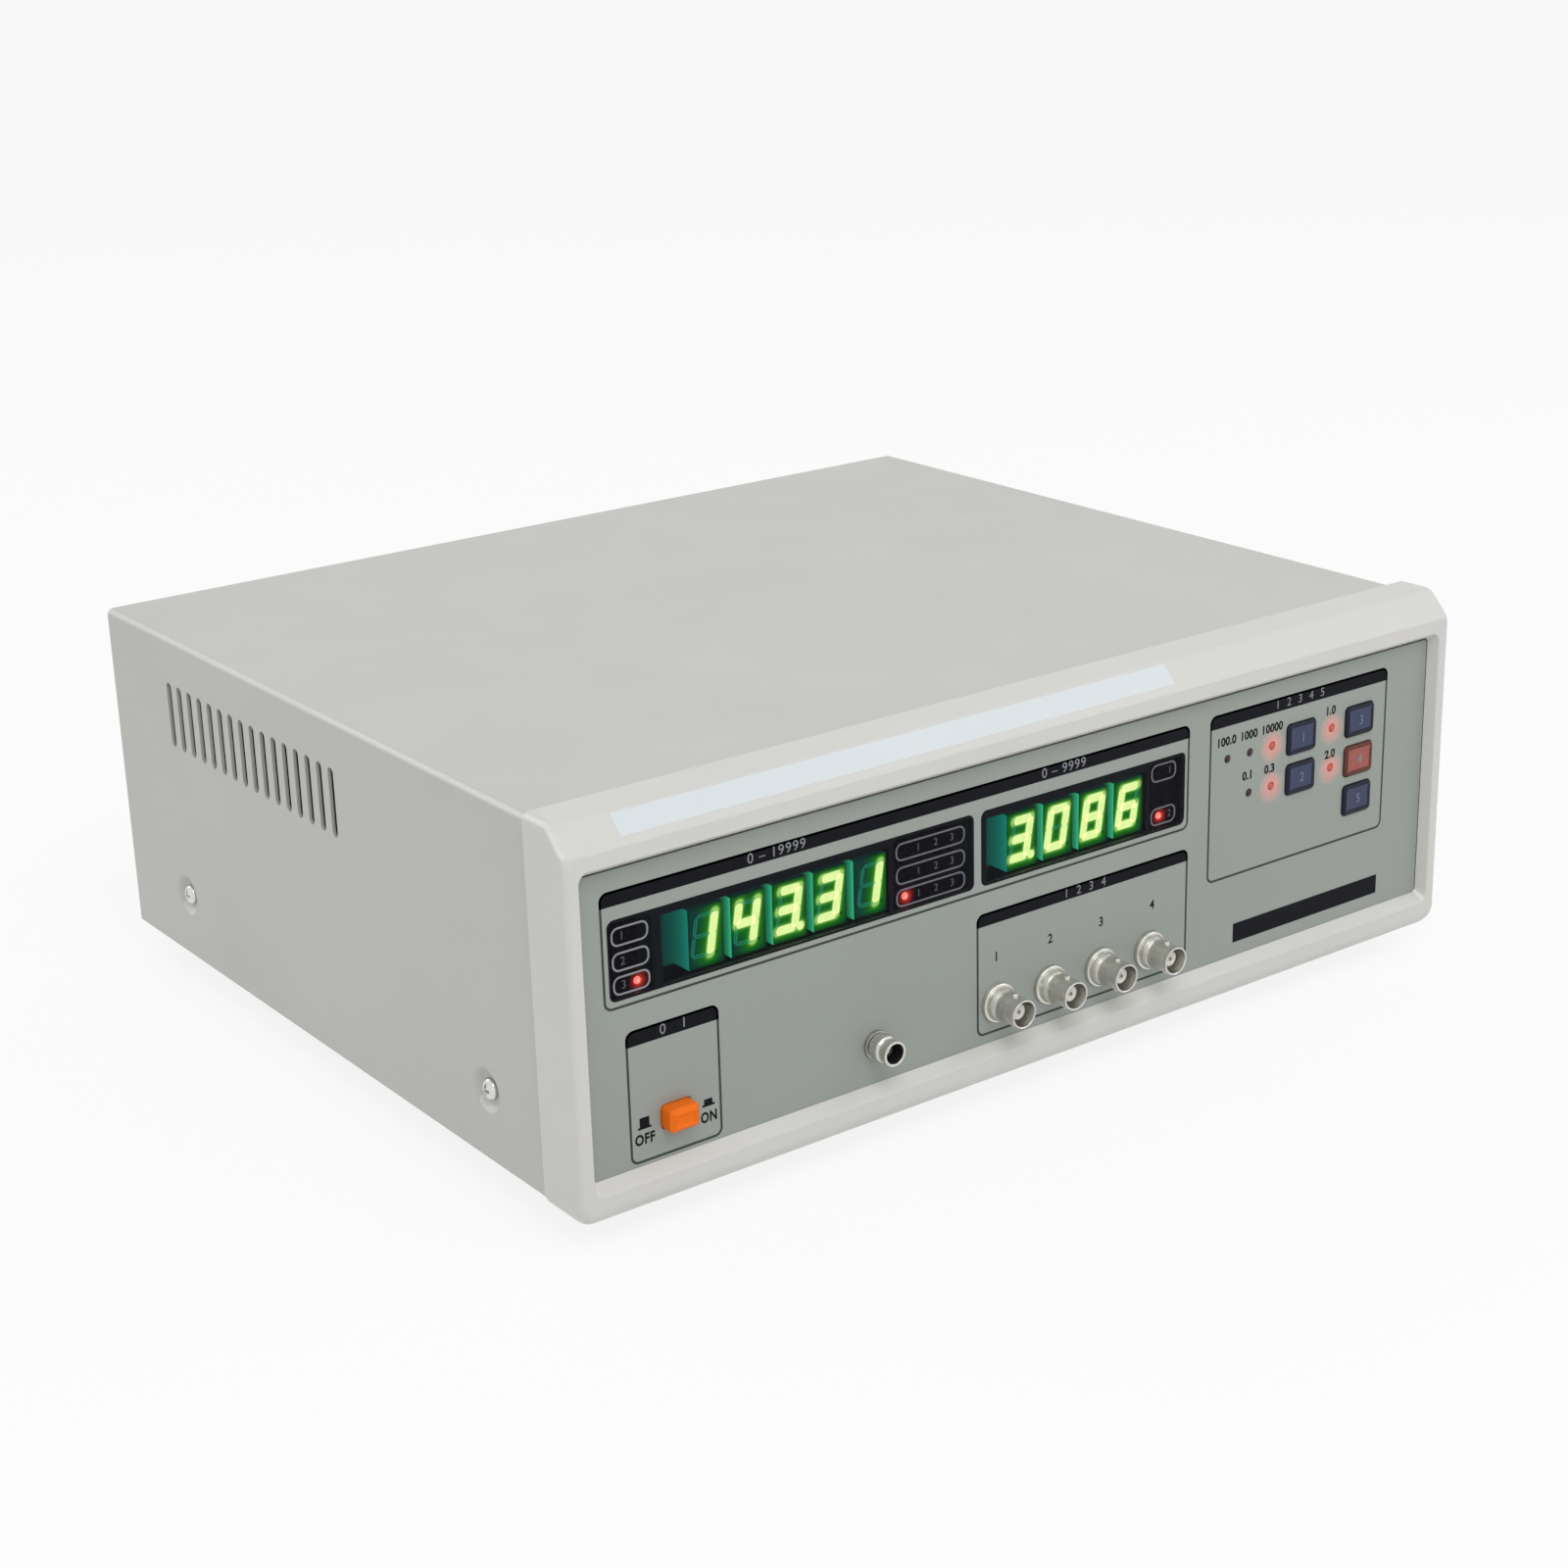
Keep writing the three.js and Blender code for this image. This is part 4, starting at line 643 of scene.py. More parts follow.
PRINTED_FRAMES = {
    "display": (-168.95, 64.7, 61.4, 101.05), "terminal": (-30.2, 15.9, 61.7, 57.8),
    "power": (-162.4, 13.9, -129.5, 56.6), "key": (70.7, 42.4, 156.2, 101.45)}
STRIP_LOWS = {"display": 96.4, "terminal": 53.4, "power": 51.6, "key": 96.6}
FRAME_RADIUS = 2.8
round_top = (LEAST_RADIUS, FRAME_RADIUS, FRAME_RADIUS, LEAST_RADIUS)
piece("print_lines", merged([stroke(box, FRAME_RADIUS, 0.8) for box in PRINTED_FRAMES.values()]),
      INK_LINE)
strips = [strip(box[0], STRIP_LOWS[name], box[2], box[3], round_top)
          for name, box in PRINTED_FRAMES.items()]
piece("print_strips", merged(strips + [strip(83.9, 17.8, 155.2, 24.7, 0.3)]), INK_BLACK)

# Painted shadow on the panel round the frame's opening, widest under the brow
BORDER_FRONT, BORDER_BACK = PANEL_FRONT - 0.035, PANEL_FRONT + 0.012
shadow_inner = (OPENING[0] + 0.28, OPENING[1] - 0.2, OPENING[2] - 0.28, OPENING[3] - 0.6)
piece("opening_painted_shadow", plate([rounded(*grown(OPENING, 0.6), 1.9), rounded(*shadow_inner, 1.5)],
                          BORDER_FRONT, BORDER_BACK), OPENING_SHADOW)

# Black borders of the window panes, with the clear fields for the digits and the pills
borders = {
    "a": [rounded(-166.8, 67.05, -31.1, 92.0, 2.2), rounded(-148.5, 67.8, -65.0, 89.5, 0.4),
          rounded(-166.1, 67.8, -151.6, 91.2, 1.6), rounded(-63.2, 67.8, -31.9, 91.2, 1.6)],
    "b": [rounded(-28.2, 67.05, 59.45, 92.0, 2.2), rounded(-26.0, 67.8, 42.2, 89.4, 0.4),
          rounded(43.4, 67.8, 58.7, 91.2, 1.6)]}
for name, outlines in borders.items():
    piece(f"pane_border_{name}", plate(outlines, BORDER_FRONT, BORDER_BACK), INK_BLACK)

NUMERAL_FRONT, NUMERAL_BACK = INK_FRONT - 0.03, INK_FRONT + 0.01
piece("print_numerals_pale", merged([
    words(*mark, NUMERAL_FRONT, NUMERAL_BACK, 1.15) for mark in (
        ("0 – 19999", -106.7, 98.65, 4.6), ("0 – 9999", 6.2, 98.65, 4.6),
        ("1  2  3  4", 15.7, 55.55, 4.2), ("0   1", -145.6, 54.05, 4.6),
        ("1  2  3  4  5", 113.0, 98.95, 4.2))
]), INK_PALE)
dark_words = [words(text, x, 41.7, 4.5, INK_FRONT, INK_BACK, 1.1, 0.95, 0.07)
              for text, x in (("1", -22.0), ("2", 0.8), ("3", 22.9), ("4", 45.7))]
dark_words += [words(*mark, 4.1, INK_FRONT, INK_BACK, 1.05, 0.95, 0.15) for mark in (
    ("100.0", 78.4, 91.3), ("1000", 88.9, 91.3), ("10000", 99.9, 91.3), ("1.0", 128.2, 91.3),
    ("0.1", 88.8, 77.0), ("0.3", 99.2, 77.0), ("2.0", 128.6, 75.6))]
dark_words += [words("OFF", -157.15, 21.2, 4.6, INK_FRONT, INK_BACK, 1.1, 0.82, 0.16),
               words("ON", -134.3, 21.2, 4.6, INK_FRONT, INK_BACK, 1.1, 0.78, 0.16)]
dark_words += [
    strip(-159.5, 24.6, -154.7, 25.3), strip(-158.8, 25.3, -155.4, 28.3),
    strip(-136.6, 24.8, -132.1, 25.5), strip(-135.9, 25.5, -132.9, 27.2)]
piece("print_numerals_dark", merged(dark_words), INK_BLACK)

# Prints on the panes: pill outlines with plain numerals
pill_rows, side_rows = (86.7, 78.95, 71.65), (87.4, 72.35)
pills = {"short": [(-165.5, z - 2.95, -152.75, z + 2.95) for z in pill_rows],
         "long": [(-62.2, z - 2.95, -34.75, z + 2.95) for z in pill_rows],
         "side": [(44.3, z - 3.1, 55.4, z + 3.1) for z in side_rows]}
for name, boxes in pills.items():
    piece(f"print_pills_{name}", merged([stroke(box, 2.4, 0.6) for box in boxes]),
          INK_PILL if name == "short" else INK_PILL_DIM)
pill_marks = [(i, -161.8, z, 3.6) for i, z in enumerate(pill_rows, 1)]
pill_marks += [(i, x, z, 3.4) for z in pill_rows for i, x in ((1, -53.3), (2, -46.4), (3, -40.0))]
pill_marks += [(i, 52.6, z, 3.4) for i, z in enumerate(side_rows, 1)]
piece("print_pill_numerals", merged([words(str(i), x, z, size, INK_FRONT, INK_BACK)
                                     for i, x, z, size in pill_marks]), INK_DIM)

# Seven-segment modules
FIGURE_W, FIGURE_H, STROKE, SLANT = 6.6, 12.4, 2.7, 0.165
FIGURE_LINE = 77.4
UNLIT_STROKE = 1.0
MODULE_W, MODULE_H, MODULE_D = 12.6, 19.0, 8.0
READINGS = {"0": "abcdef", "1": "bc", "3": "abcdg", "4": "bcfg", "6": "acdefg", "8": "abcdefg"}
rung, side = FIGURE_H / 2, FIGURE_W / 2
SEGMENTS = {"a": (-side, rung, side, rung), "b": (side, 0, side, rung), "c": (side, -rung, side, 0),
            "d": (-side, -rung, side, -rung), "e": (-side, -rung, -side, 0),
            "f": (-side, 0, -side, rung), "g": (-side, 0, side, 0)}
POINT_PLACE = (side + 2.2, -rung - 0.2)


def to_segment(x, z, ends):
    """The distance from a point to a segment's middle line."""
    ax, az, bx, bz = ends
    dx, dz = bx - ax, bz - az
    share = max(0.0, min(1.0, ((x - ax) * dx + (z - az) * dz) / (dx * dx + dz * dz)))
    return hypot(x - ax - share * dx, z - az - share * dz)


def segment_outline(ends, half, gap, taper):
    """The outline of a segment with pointed ends, blunter with a smaller taper."""
    ax, az, bx, bz = ends
    length = hypot(bx - ax, bz - az)
    u, v = (bx - ax) / length, (bz - az) / length
    mx, mz = (ax + bx) / 2, (az + bz) / 2
    reach = length / 2 - gap
    tip, blunt = half * taper, half * (1 - taper)
    corners = ((-reach, blunt), (-reach, -blunt), (tip - reach, -half), (reach - tip, -half),
               (reach, -blunt), (reach, blunt), (reach - tip, half), (tip - reach, half))
    points = [(mx + a * u - b * v, mz + a * v + b * u) for a, b in corners]
    return [(x + z * SLANT, z) for x, z in points]


# Emission at distances in millimetres from a lit segment's edge, as linear red, green and blue
GLOW_STEPS = ((0.0, (0.34, 0.66, 0.15)), (0.35, (0.10, 0.36, 0.03)), (0.75, (0.022, 0.20, 0.008)),
              (1.2, (0.006, 0.15, 0.005)), (2.2, (0.0, 0.11, 0.006)), (3.6, (0.0, 0.065, 0.02)),
              (5.5, (0.0, 0.042, 0.028)))
# What the walls between modules and the outer wall of the first one give off at their front
WALL_GLOW = (0.03, 0.52, 0.24)
END_GLOW = (0.003, 0.19, 0.135)
FACE_ACROSS, FACE_UP, WALL_STEPS = 56, 84, 10
EDGE_FADE, WALL_FADE, END_FADE = 1.4, 3.2, 2.2
END_LEAST, END_MORE, FAR_WALL = 0.35, 0.85, 0.12


def along(steps, at):
    """The colour at a place in a table of places and colours, which holds past its two ends."""
    for (p0, c0), (p1, c1) in zip(steps, steps[1:]):
        if at <= p1:
            share = max(0.0, (at - p0) / (p1 - p0))
            return tuple(a + (b - a) * share for a, b in zip(c0, c1))
    return steps[-1][1]


def tint(colour, share):
    return tuple(channel * share for channel in colour) + (1.0,)


def grid(left, right, y, across, up):
    """A flat net of faces as tall as a module."""
    points = [(left + (right - left) * i / across, y, DIGIT_LINE + MODULE_H * (j / up - 0.5))
              for j in range(up + 1) for i in range(across + 1)]
    faces = [(k, k + 1, k + across + 2, k + across + 1)
             for j in range(up) for k in range(j * (across + 1), j * (across + 1) + across)]
    return points, faces


def digit(name, figure, point, centre, drift, first_module):
    """One display module: its glowing face and walls, its lit segments and its unlit ones."""
    lit = [SEGMENTS[letter] for letter in READINGS[figure]]
    half_w, half_h = MODULE_W / 2, MODULE_H / 2

    def face_light(local):
        x, z = local.x - centre - drift, local.z - FIGURE_LINE
        plain = x - z * SLANT
        gaps = [to_segment(plain, z, ends) for ends in lit]
        if point:
            gaps.append(hypot(plain - POINT_PLACE[0], z - POINT_PLACE[1]))
        edge = min(half_w - abs(local.x - centre), half_h - abs(local.z - DIGIT_LINE))
        return tint(along(GLOW_STEPS, min(gaps) - STROKE / 2), 0.5 + 0.5 * min(1.0, edge / EDGE_FADE))

    def light(local, normal):
        if normal.y < -0.5:
            return face_light(local)
        depth = (local.y - DIGIT_FACE) / MODULE_D
        if normal.x >= -0.5:
            return tint(END_GLOW, FAR_WALL * (1 - depth))
        if first_module:
            return tint(END_GLOW, END_LEAST + END_MORE * exp(-END_FADE * depth))
        return tint(WALL_GLOW, exp(-WALL_FADE * depth))

    rim = [(centre + x, DIGIT_LINE + z) for x, z in (
        (-half_w, -half_h), (half_w, -half_h), (half_w, half_h), (-half_w, half_h))]
    walls = loft([at_depth(rim, DIGIT_FACE + MODULE_D * k / WALL_STEPS)
                  for k in range(WALL_STEPS + 1)], ends=False)
    back = (at_depth(rim, DIGIT_FACE + MODULE_D), [(0, 1, 2, 3)])
    face_net = grid(centre - half_w, centre + half_w, DIGIT_FACE, FACE_ACROSS, FACE_UP)
    made = draft(f"module_{name}", merged([face_net, walls, back]))
    paint_light(made, light)
    dress(made, MODULE, "case", [f"digit_{name}"], weighted=False)

    lit_shapes, dark_shapes, edge_shapes = [], [], []
    middle = centre + drift
    front, back_y = DIGIT_FACE - 0.1, DIGIT_FACE + 0.3

    def outline(ends, half, gap, taper=1.0):
        return [(middle + x, FIGURE_LINE + z) for x, z in segment_outline(ends, half, gap, taper)]

    for ends in SEGMENTS.values():
        if ends in lit:
            outer = outline(ends, STROKE / 2, -0.15, 0.5)
            inner = outline(ends, STROKE / 2 - 0.2, 0.05, 0.45)
            lit_shapes.append(loft([at_depth(inner, front - 0.06), at_depth(outer, front),
                                    at_depth(outer, back_y)]))
        else:
            outer = outline(ends, UNLIT_STROKE / 2, 0.3)
            inner = outline(ends, UNLIT_STROKE / 2 - 0.24, 0.55)
            edge_shapes.append(loft([at_depth(outer, front + 0.03), at_depth(outer, back_y),
                                     at_depth(inner, back_y), at_depth(inner, front + 0.03)],
                                    closed=True))
    size = STROKE / 2 if point else 0.5
    dot = lathe([(0, DIGIT_FACE - 0.14), (size * 0.6, DIGIT_FACE - 0.13), (size, DIGIT_FACE - 0.05),
                 (size, back_y), (0, back_y)], middle + POINT_PLACE[0] + POINT_PLACE[1] * SLANT,
                FIGURE_LINE + POINT_PLACE[1], 24)
    (lit_shapes if point else dark_shapes).append(dot)
    for kind, shapes, finish in (("segments_lit", lit_shapes, SEGMENT_LIT),
                                 ("segments_dark", dark_shapes, SEGMENT_DARK),
                                 ("segment_edges", edge_shapes, SEGMENT_EDGE)):
        if shapes:
            piece(f"{kind}_{name}", merged(shapes), finish)


# The readings, and how far their figures stand off the middles of the modules
DRIFT_STEP = 0.18
for group, reading, drift in (("a", "143.31", -0.9), ("b", "3.086", -0.6)):
    point_after = reading.index(".")
    for i, figure in enumerate(reading.replace(".", "")):
        digit(f"{group}{i + 1}", figure, i + 1 == point_after,
              DIGIT_STARTS[group] + MODULE_W / 2 + DIGIT_PITCH * i, drift + DRIFT_STEP * i, i == 0)

# Green light that the first module of each window throws on the board beside it
SPILL_REACH = 6.2
for group, start in DIGIT_STARTS.items():
    near = start - 0.05
    spill = draft(f"board_glow_{group}",
                  grid(near, near - SPILL_REACH, BOARD_FRONT - 0.06, 12, 10))
    paint_light(spill, lambda local, normal: tint(
        END_GLOW, 0.4 * max(0.0, 1 - ((start - local.x) / SPILL_REACH) ** 1.3)))
    dress(spill, MODULE, "case", weighted=False)


def dome(radius, front, back, x, z):
    """A round-ended lamp, as deep as its radius at the front where there is room."""
    deep = min(radius, 0.9 * (back - front))
    bends = [radians(a) for a in (15, 30, 45, 60, 75, 90)]
    profile = [(0, front)] + [(radius * sin(a), front + deep * (1 - cos(a))) for a in bends]
    return lathe(profile + [(radius, back), (0, back)], x, z, 24)


# Chips behind the pills, and whether each is lit
PILL_FRONT, LIT_FRONT, LIT_DEPTH = 7.5, 7.25, 0.5
chips = [(-155.0, 85.0, False), (-155.0, 77.3, False), (-155.0, 70.0, True),
         (-56.0, 85.0, False), (-56.0, 77.3, False), (-56.0, 70.3, True),
         (51.2, 85.8, False), (51.2, 70.8, True)]
piece("pill_chips", merged([dome(1.15, PILL_FRONT, BLOCK_FRONT + 0.3, x, z) for x, z, lit in chips]),
      RED_DARK)
piece("pill_chips_lit", merged([dome(1.2, LIT_FRONT, LIT_FRONT + LIT_DEPTH, x, z)
                                for x, z, lit in chips if lit]), CHIP_LIT)

HALO_RINGS = 14


def halo(name, x, z, y, core, reach, sink, finish, steps):
    """A thin disc whose glow fades outwards, as lamplight does on the surface round a lamp."""
    shares = [k / HALO_RINGS for k in range(HALO_RINGS + 1)]
    circles = [(core + (reach - core) * share, x, z - sink * share) for share in shares]
    made = draft(name, loft([at_depth(disc(*circle, 48), y) for circle in circles], ends=False))
    paint = made.data.color_attributes.new("glow", "FLOAT_COLOR", "POINT")
    for vertex, mark in zip(made.data.vertices, paint.data):
        local = home(vertex.co)
        off = [abs(hypot(local.x - cx, local.z - cz) - radius) for radius, cx, cz in circles]
        mark.color = along(steps, shares[off.index(min(off))])
    return dress(made, finish, "case", weighted=False)


LAMP_COVERS = ((0.0, 0.94), (0.1, 0.9), (0.2, 0.8), (0.31, 0.67), (0.41, 0.54), (0.52, 0.41),
               (0.62, 0.29), (0.72, 0.19), (0.82, 0.1), (0.92, 0.04), (1.0, 0.0))
# Steps of a halo from its core to its reach, as linear red, green and blue light and cover.
# The light makes up for what the see-through disc keeps from the panel under it
LAMP_STEPS = tuple((share, ((1 - cover) * 0.30, (1 - cover) * 0.33, (1 - cover) * 0.30, cover))
                   for share, cover in LAMP_COVERS)
CHIP_STEPS = ((0.0, (0.75, 0.10, 0.08, 0.8)), (0.25, (0.34, 0.02, 0.015, 0.7)),
              (0.6, (0.12, 0.004, 0.004, 0.5)), (1.0, (0.03, 0.0, 0.0, 0.0)))
# Radii of a halo's core and reach, and how far it sinks below its lamp
LAMP_HALO_SIZES = (1.47, 6.4, 0.5)
CHIP_HALO_SIZES = (0.5, 3.9, 0.0)
# Light of the lit chips on the back of the panes
PANE_BACK = 7.2
for i, (x, z) in enumerate(((-154.9, 69.95), (-55.9, 70.2), (51.3, 70.75)), 1):
    halo(f"chip_halo_{i}", x, z, PANE_BACK, *CHIP_HALO_SIZES, CHIP_HALO, CHIP_STEPS)

# Panel lamps
LENS = [(0, 3.55), (0.5, 3.62), (0.9, 3.82), (1.12, 4.1), (1.24, 4.5), (1.26, 6.2), (1.75, 6.5),
        (1.75, BOARD_FRONT), (0, BOARD_FRONT)]
for i, (x, z) in enumerate(LAMPS, 1):
    lit = i in LIT_LAMPS
    piece(f"lamp_{i}", lathe(LENS, x, z, 32), RED_LIT if lit else RED_DARK,
          replaces=[f"panel_lamp_{i}"])
    if lit:
        halo(f"lamp_halo_{i}", x, z, PANEL_FRONT - 0.012, *LAMP_HALO_SIZES, HALO, LAMP_STEPS)

# Keys: depths and how far the outline stands outside the cap, from the sunk middle to the skirt
KEY_STAGES = ((3.06, -2.6), (3.02, -2.05), (2.96, -1.6), (2.92, -1.2), (2.96, -0.9), (3.1, -0.6),
              (3.3, -0.3), (3.6, -0.1), (3.9, 0), (6.2, 0), (6.2, 1.0), (7.2, 1.0), (7.2, 0),
              (KEY_REAR, 0))
# Widths of the painted shade band round each cap's front, and the depth from which the sides are
# shaded
NARROW_EDGE, WIDE_EDGE, EDGE_DEPTH = 1.35, 1.9, 3.5
for i, box in enumerate(key_boxes, 1):
    red = i == RED_KEY
    cap = piece(f"keycap_{i}", block(box, KEY_STAGES, 1.6), KEY_RED if red else KEY_BLUE,
                body=f"key_{i}", replaces=[f"key_{i}"])

    def on_key_edge(face):
        """Whether a face lies outside the middle of the cap's front, where a darker finish paints
        shade.
        """
        x, y, z = home(face.center)
        return not (box[0] + NARROW_EDGE < x < box[2] - WIDE_EDGE
                    and box[1] + WIDE_EDGE < z < box[3] - NARROW_EDGE and y < EDGE_DEPTH)

    # All of each cap but the middle of its front takes the darker copy, as painted shade
    repaint(cap, KEY_RED_SHADE if red else KEY_BLUE_SHADE, on_key_edge)
    numeral = words(str(i), (box[0] + box[2]) / 2, (box[1] + box[3]) / 2, 4.6, 2.9, 3.06,
                    weight=0.08)
    piece(f"key_numeral_{i}", numeral, INK_PILL if red else INK_KEY, body=f"key_{i}")

# Coaxial terminals
BNC_PROFILE = (
    (4.1, -0.5), (4.1, -8.6), (4.22, -8.95), (4.48, -9.1), (4.72, -8.98), (4.85, -8.7),
    (4.85, -1.0), (4.95, -0.5), (5.1, -0.2), (5.35, 0.3), (5.6, 1.0), (5.75, 1.7), (5.8, 2.3),
    (5.86, 2.42), (6.3, 2.5), (6.52, 2.7), (6.6, 3.0), (6.6, 3.85), (6.5, 4.0), (4.9, 4.0),
    (4.9, 14.6), (3.3, 14.6), (3.3, -0.5))
NUT_FRONT, NUT_BACK, NUT_EDGE, NUT_ROUNDNESS = 6.2, 8.8, 0.5, 0.8


def hexagon(radius, bore, x, z):
    """A six-sided nut behind the panel, with its corners turned off at both ends."""
    inner = radius * cos(pi / 6)

    def ring(y, roundness=0.0):
        def reach(angle):
            flat = inner / cos(angle % (pi / 3) - pi / 6)
            return flat + (inner - flat) * roundness
        return at_depth(disc(0, x, z, 48, reach), y)

    hole = disc(bore, x, z, 48)
    return loft([at_depth(hole, NUT_FRONT), ring(NUT_FRONT, NUT_ROUNDNESS),
                 ring(NUT_FRONT + NUT_EDGE), ring(NUT_BACK - NUT_EDGE),
                 ring(NUT_BACK, NUT_ROUNDNESS), at_depth(hole, NUT_BACK)], closed=True)


CORE_PROFILE = ((0.7, -2.2), (0.7, -6.1), (0.78, -6.3), (2.35, -6.3), (2.6, -6.1), (2.6, -0.4),
                (3.0, -0.4), (3.0, 14.6), (1.1, 14.6), (1.1, 18.6), (0, 18.6))
CONTACT_PROFILE = ((0.35, -2.3), (0.35, -6.5), (0.42, -6.6), (0.62, -6.6), (0.69, -6.5),
                   (0.69, -2.3))
LUG_PROFILE = ((0, 4.3), (1.0, 4.3), (1.0, 5.45), (0.85, 5.6), (0, 5.65))
LUG_DEPTH = -4.3
for i, x in enumerate(TERMINALS, 1):
    parts = [lathe(BNC_PROFILE, x, CONTROL_LINE, 56, closed=True),
             hexagon(7.4, 4.6, x, CONTROL_LINE)]
    parts += [turned(lathe(LUG_PROFILE, 0, 0, 20), x, LUG_DEPTH, CONTROL_LINE, (0, 0, way))
              for way in (1, -1)]
    piece(f"terminal_{i}", merged(parts), TURNED, replaces=[f"bnc_{i}"], sharp=30)
    piece(f"insulator_{i}", lathe(CORE_PROFILE, x, CONTROL_LINE, 36), WHITE_PLASTIC,
          replaces=[f"bnc_insulator_{i}"])
    piece(f"contact_{i}", lathe(CONTACT_PROFILE, x, CONTROL_LINE, 24, closed=True), NICKEL)

# Ground post and its thumb nut
stud = lathe([(0, 7.5), (1.4, 7.4), (1.9, 7.2), (1.9, -0.1), (2.05, -0.35), (2.3, -0.5),
              (2.5, -0.4), (2.6, -0.2), (2.6, 2.6), (4.3, 2.6), (4.6, 2.75), (4.7, 3.1),
              (4.7, 4.0), (2.6, 4.0), (2.6, 15.1), (0, 15.1)], POST, CONTROL_LINE)
piece("ground_stud", merged([stud, hexagon(5.6, 2.3, POST, CONTROL_LINE)]), NICKEL,
      replaces=["ground_post"])
NUT_TEETH = 26
nut_profile = ((2.9, 2.3), (4.1, 2.3), (4.25, 2.2), (4.4, 1.9), (4.4, -1.3), (4.25, -1.6),
               (4.05, -1.8), (3.8, -2.2), (3.72, -2.9), (3.74, -3.6), (3.9, -4.4), (4.1, -5.1),
               (4.15, -5.4), (4.02, -5.7), (3.75, -5.8), (3.4, -5.7), (3.22, -5.4), (2.95, -0.9))
TOOTH_HEIGHT = 0.15


def knurl(angle):
    return TOOTH_HEIGHT * cos(NUT_TEETH * angle)


nut_shape = lathe(nut_profile, POST, CONTROL_LINE, NUT_TEETH * 6, closed=True,
                  waves={3: knurl, 4: knurl})
piece("thumb_nut", nut_shape, TURNED, body="ground_nut", replaces=["ground_nut"])

# Black sleeves and a plug in the bores of the post and its nut, put in as painted shade where the
# bores are dark
bore_shade_sleeve = lathe(((1.55, -0.05), (1.87, -0.05), (1.87, 7.0), (1.55, 7.0)), POST, CONTROL_LINE, 32,
               closed=True)
bore_shade_plug = lathe([(0, 6.6), (1.6, 6.6), (1.6, 6.9), (0, 6.9)], POST, CONTROL_LINE, 32)
piece("post_bore_shade", merged([bore_shade_sleeve, bore_shade_plug]), BLACK)
mouth_shade = lathe(((3.12, -5.35), (3.2, -5.42), (2.93, -0.95), (2.8, -0.95)), POST, CONTROL_LINE,
              closed=True)
piece("nut_mouth_shade", mouth_shade, BLACK, body="ground_nut")

# Power button
cap = block(power_box, ((-1.0, -2.5), (-1.1, -2.2), (-1.42, -1.95), (-1.5, -1.75), (-1.46, -1.6),
                        (-1.32, -1.5), (-0.25, -0.25), (-0.1, -0.08), (0.15, 0), (7.5, 0)), 1.5)
piece("button_cap", cap, ORANGE, body="power_button", replaces=["power_button"])

# Cover: a folded sheet with vent slots and dished seats
COVER_FRONT = 18.0
FOLD_RADIUS, FOLD_STEPS = 2.4, 8
SEAT_DEPTHS = (55.0, 262.5)
SCREW_LINE = 25.2
VENTS, VENT_PITCH, VENT_REAR = 16, 7.93, 260
VENT_HALF, VENT_LOW, VENT_TOP = 1.8, 81.95, 105.55
# Radii and depths of the dished seats under the screws
DISH = [(7.9, 0.0), (7.6, 0.05), (7.2, 0.22), (6.7, 0.6), (6.2, 1.1), (5.7, 1.6), (5.2, 1.92),
        (4.8, 2.0)]


def cover_section():
    """The folded sheet's outline, open below: its outside and then its inside."""
    outer, inner = [(COVER_HALF, COVER_BOTTOM)], [(COVER_HALF - SHEET, COVER_BOTTOM)]
    for sign, start in ((1, 0), (-1, 90)):
        for i in range(FOLD_STEPS + 1):
            angle = radians(start + 90 * i / FOLD_STEPS)
            for points, reach in ((outer, FOLD_RADIUS), (inner, FOLD_RADIUS - SHEET)):
                points.append((sign * (COVER_HALF - FOLD_RADIUS) + reach * cos(angle),
                               COVER_TOP - FOLD_RADIUS + reach * sin(angle)))
    outer.append((-COVER_HALF, COVER_BOTTOM))
    inner.append((SHEET - COVER_HALF, COVER_BOTTOM))
    return outer + inner[::-1]


def at_seats(profile, sides=48):
    """A profile turned about the axis of each screw in the cover's sides."""
    return merged([turned(lathe(profile, 0, 0, sides), sign * COVER_HALF, y, SCREW_LINE,
                          (sign, 0, 0)) for sign in (-1, 1) for y in SEAT_DEPTHS])


cover = draft("cover", loft([at_depth(cover_section(), y) for y in (COVER_FRONT, CASE_DEPTH)]))
carve(cover, at_seats([(0, -0.5), (7.7, -0.5)] + [(r + 0.35, -d - SHEET) for r, d in DISH
                                                  if d > 0.2] + [(0, -3.2)]), "UNION")
vent_shapes = []
for i in range(VENTS):
    middle = VENT_REAR - VENT_PITCH * i
    outline = [(middle + VENT_HALF * cos(angle), end + VENT_HALF * sin(angle))
               for end, start in ((VENT_TOP - VENT_HALF, 0), (VENT_LOW + VENT_HALF, 180))
               for angle in (radians(start + 22.5 * k) for k in range(9))]
    vent_shapes += [loft([[(x, y, z) for y, z in outline] for x in (left, left + 5)])
                    for left in (-183, 178)]
carve(cover, merged(vent_shapes))
carve(cover, at_seats([(0, 0.5), (7.9, 0.5)] + [(r, -d) for r, d in DISH] + [(0, -2.0)]))
carve(cover, at_seats([(0, 1), (2.2, 1), (2.2, -5), (0, -5)], 24))
soften(cover, 0.22)
dress(cover, COVER_GREY, "case", ["top_cover"])
# The cover's top folds take the lighter paint as a painted highlight
repaint(cover, COVER_FOLD_HIGHLIGHT, on_fold)


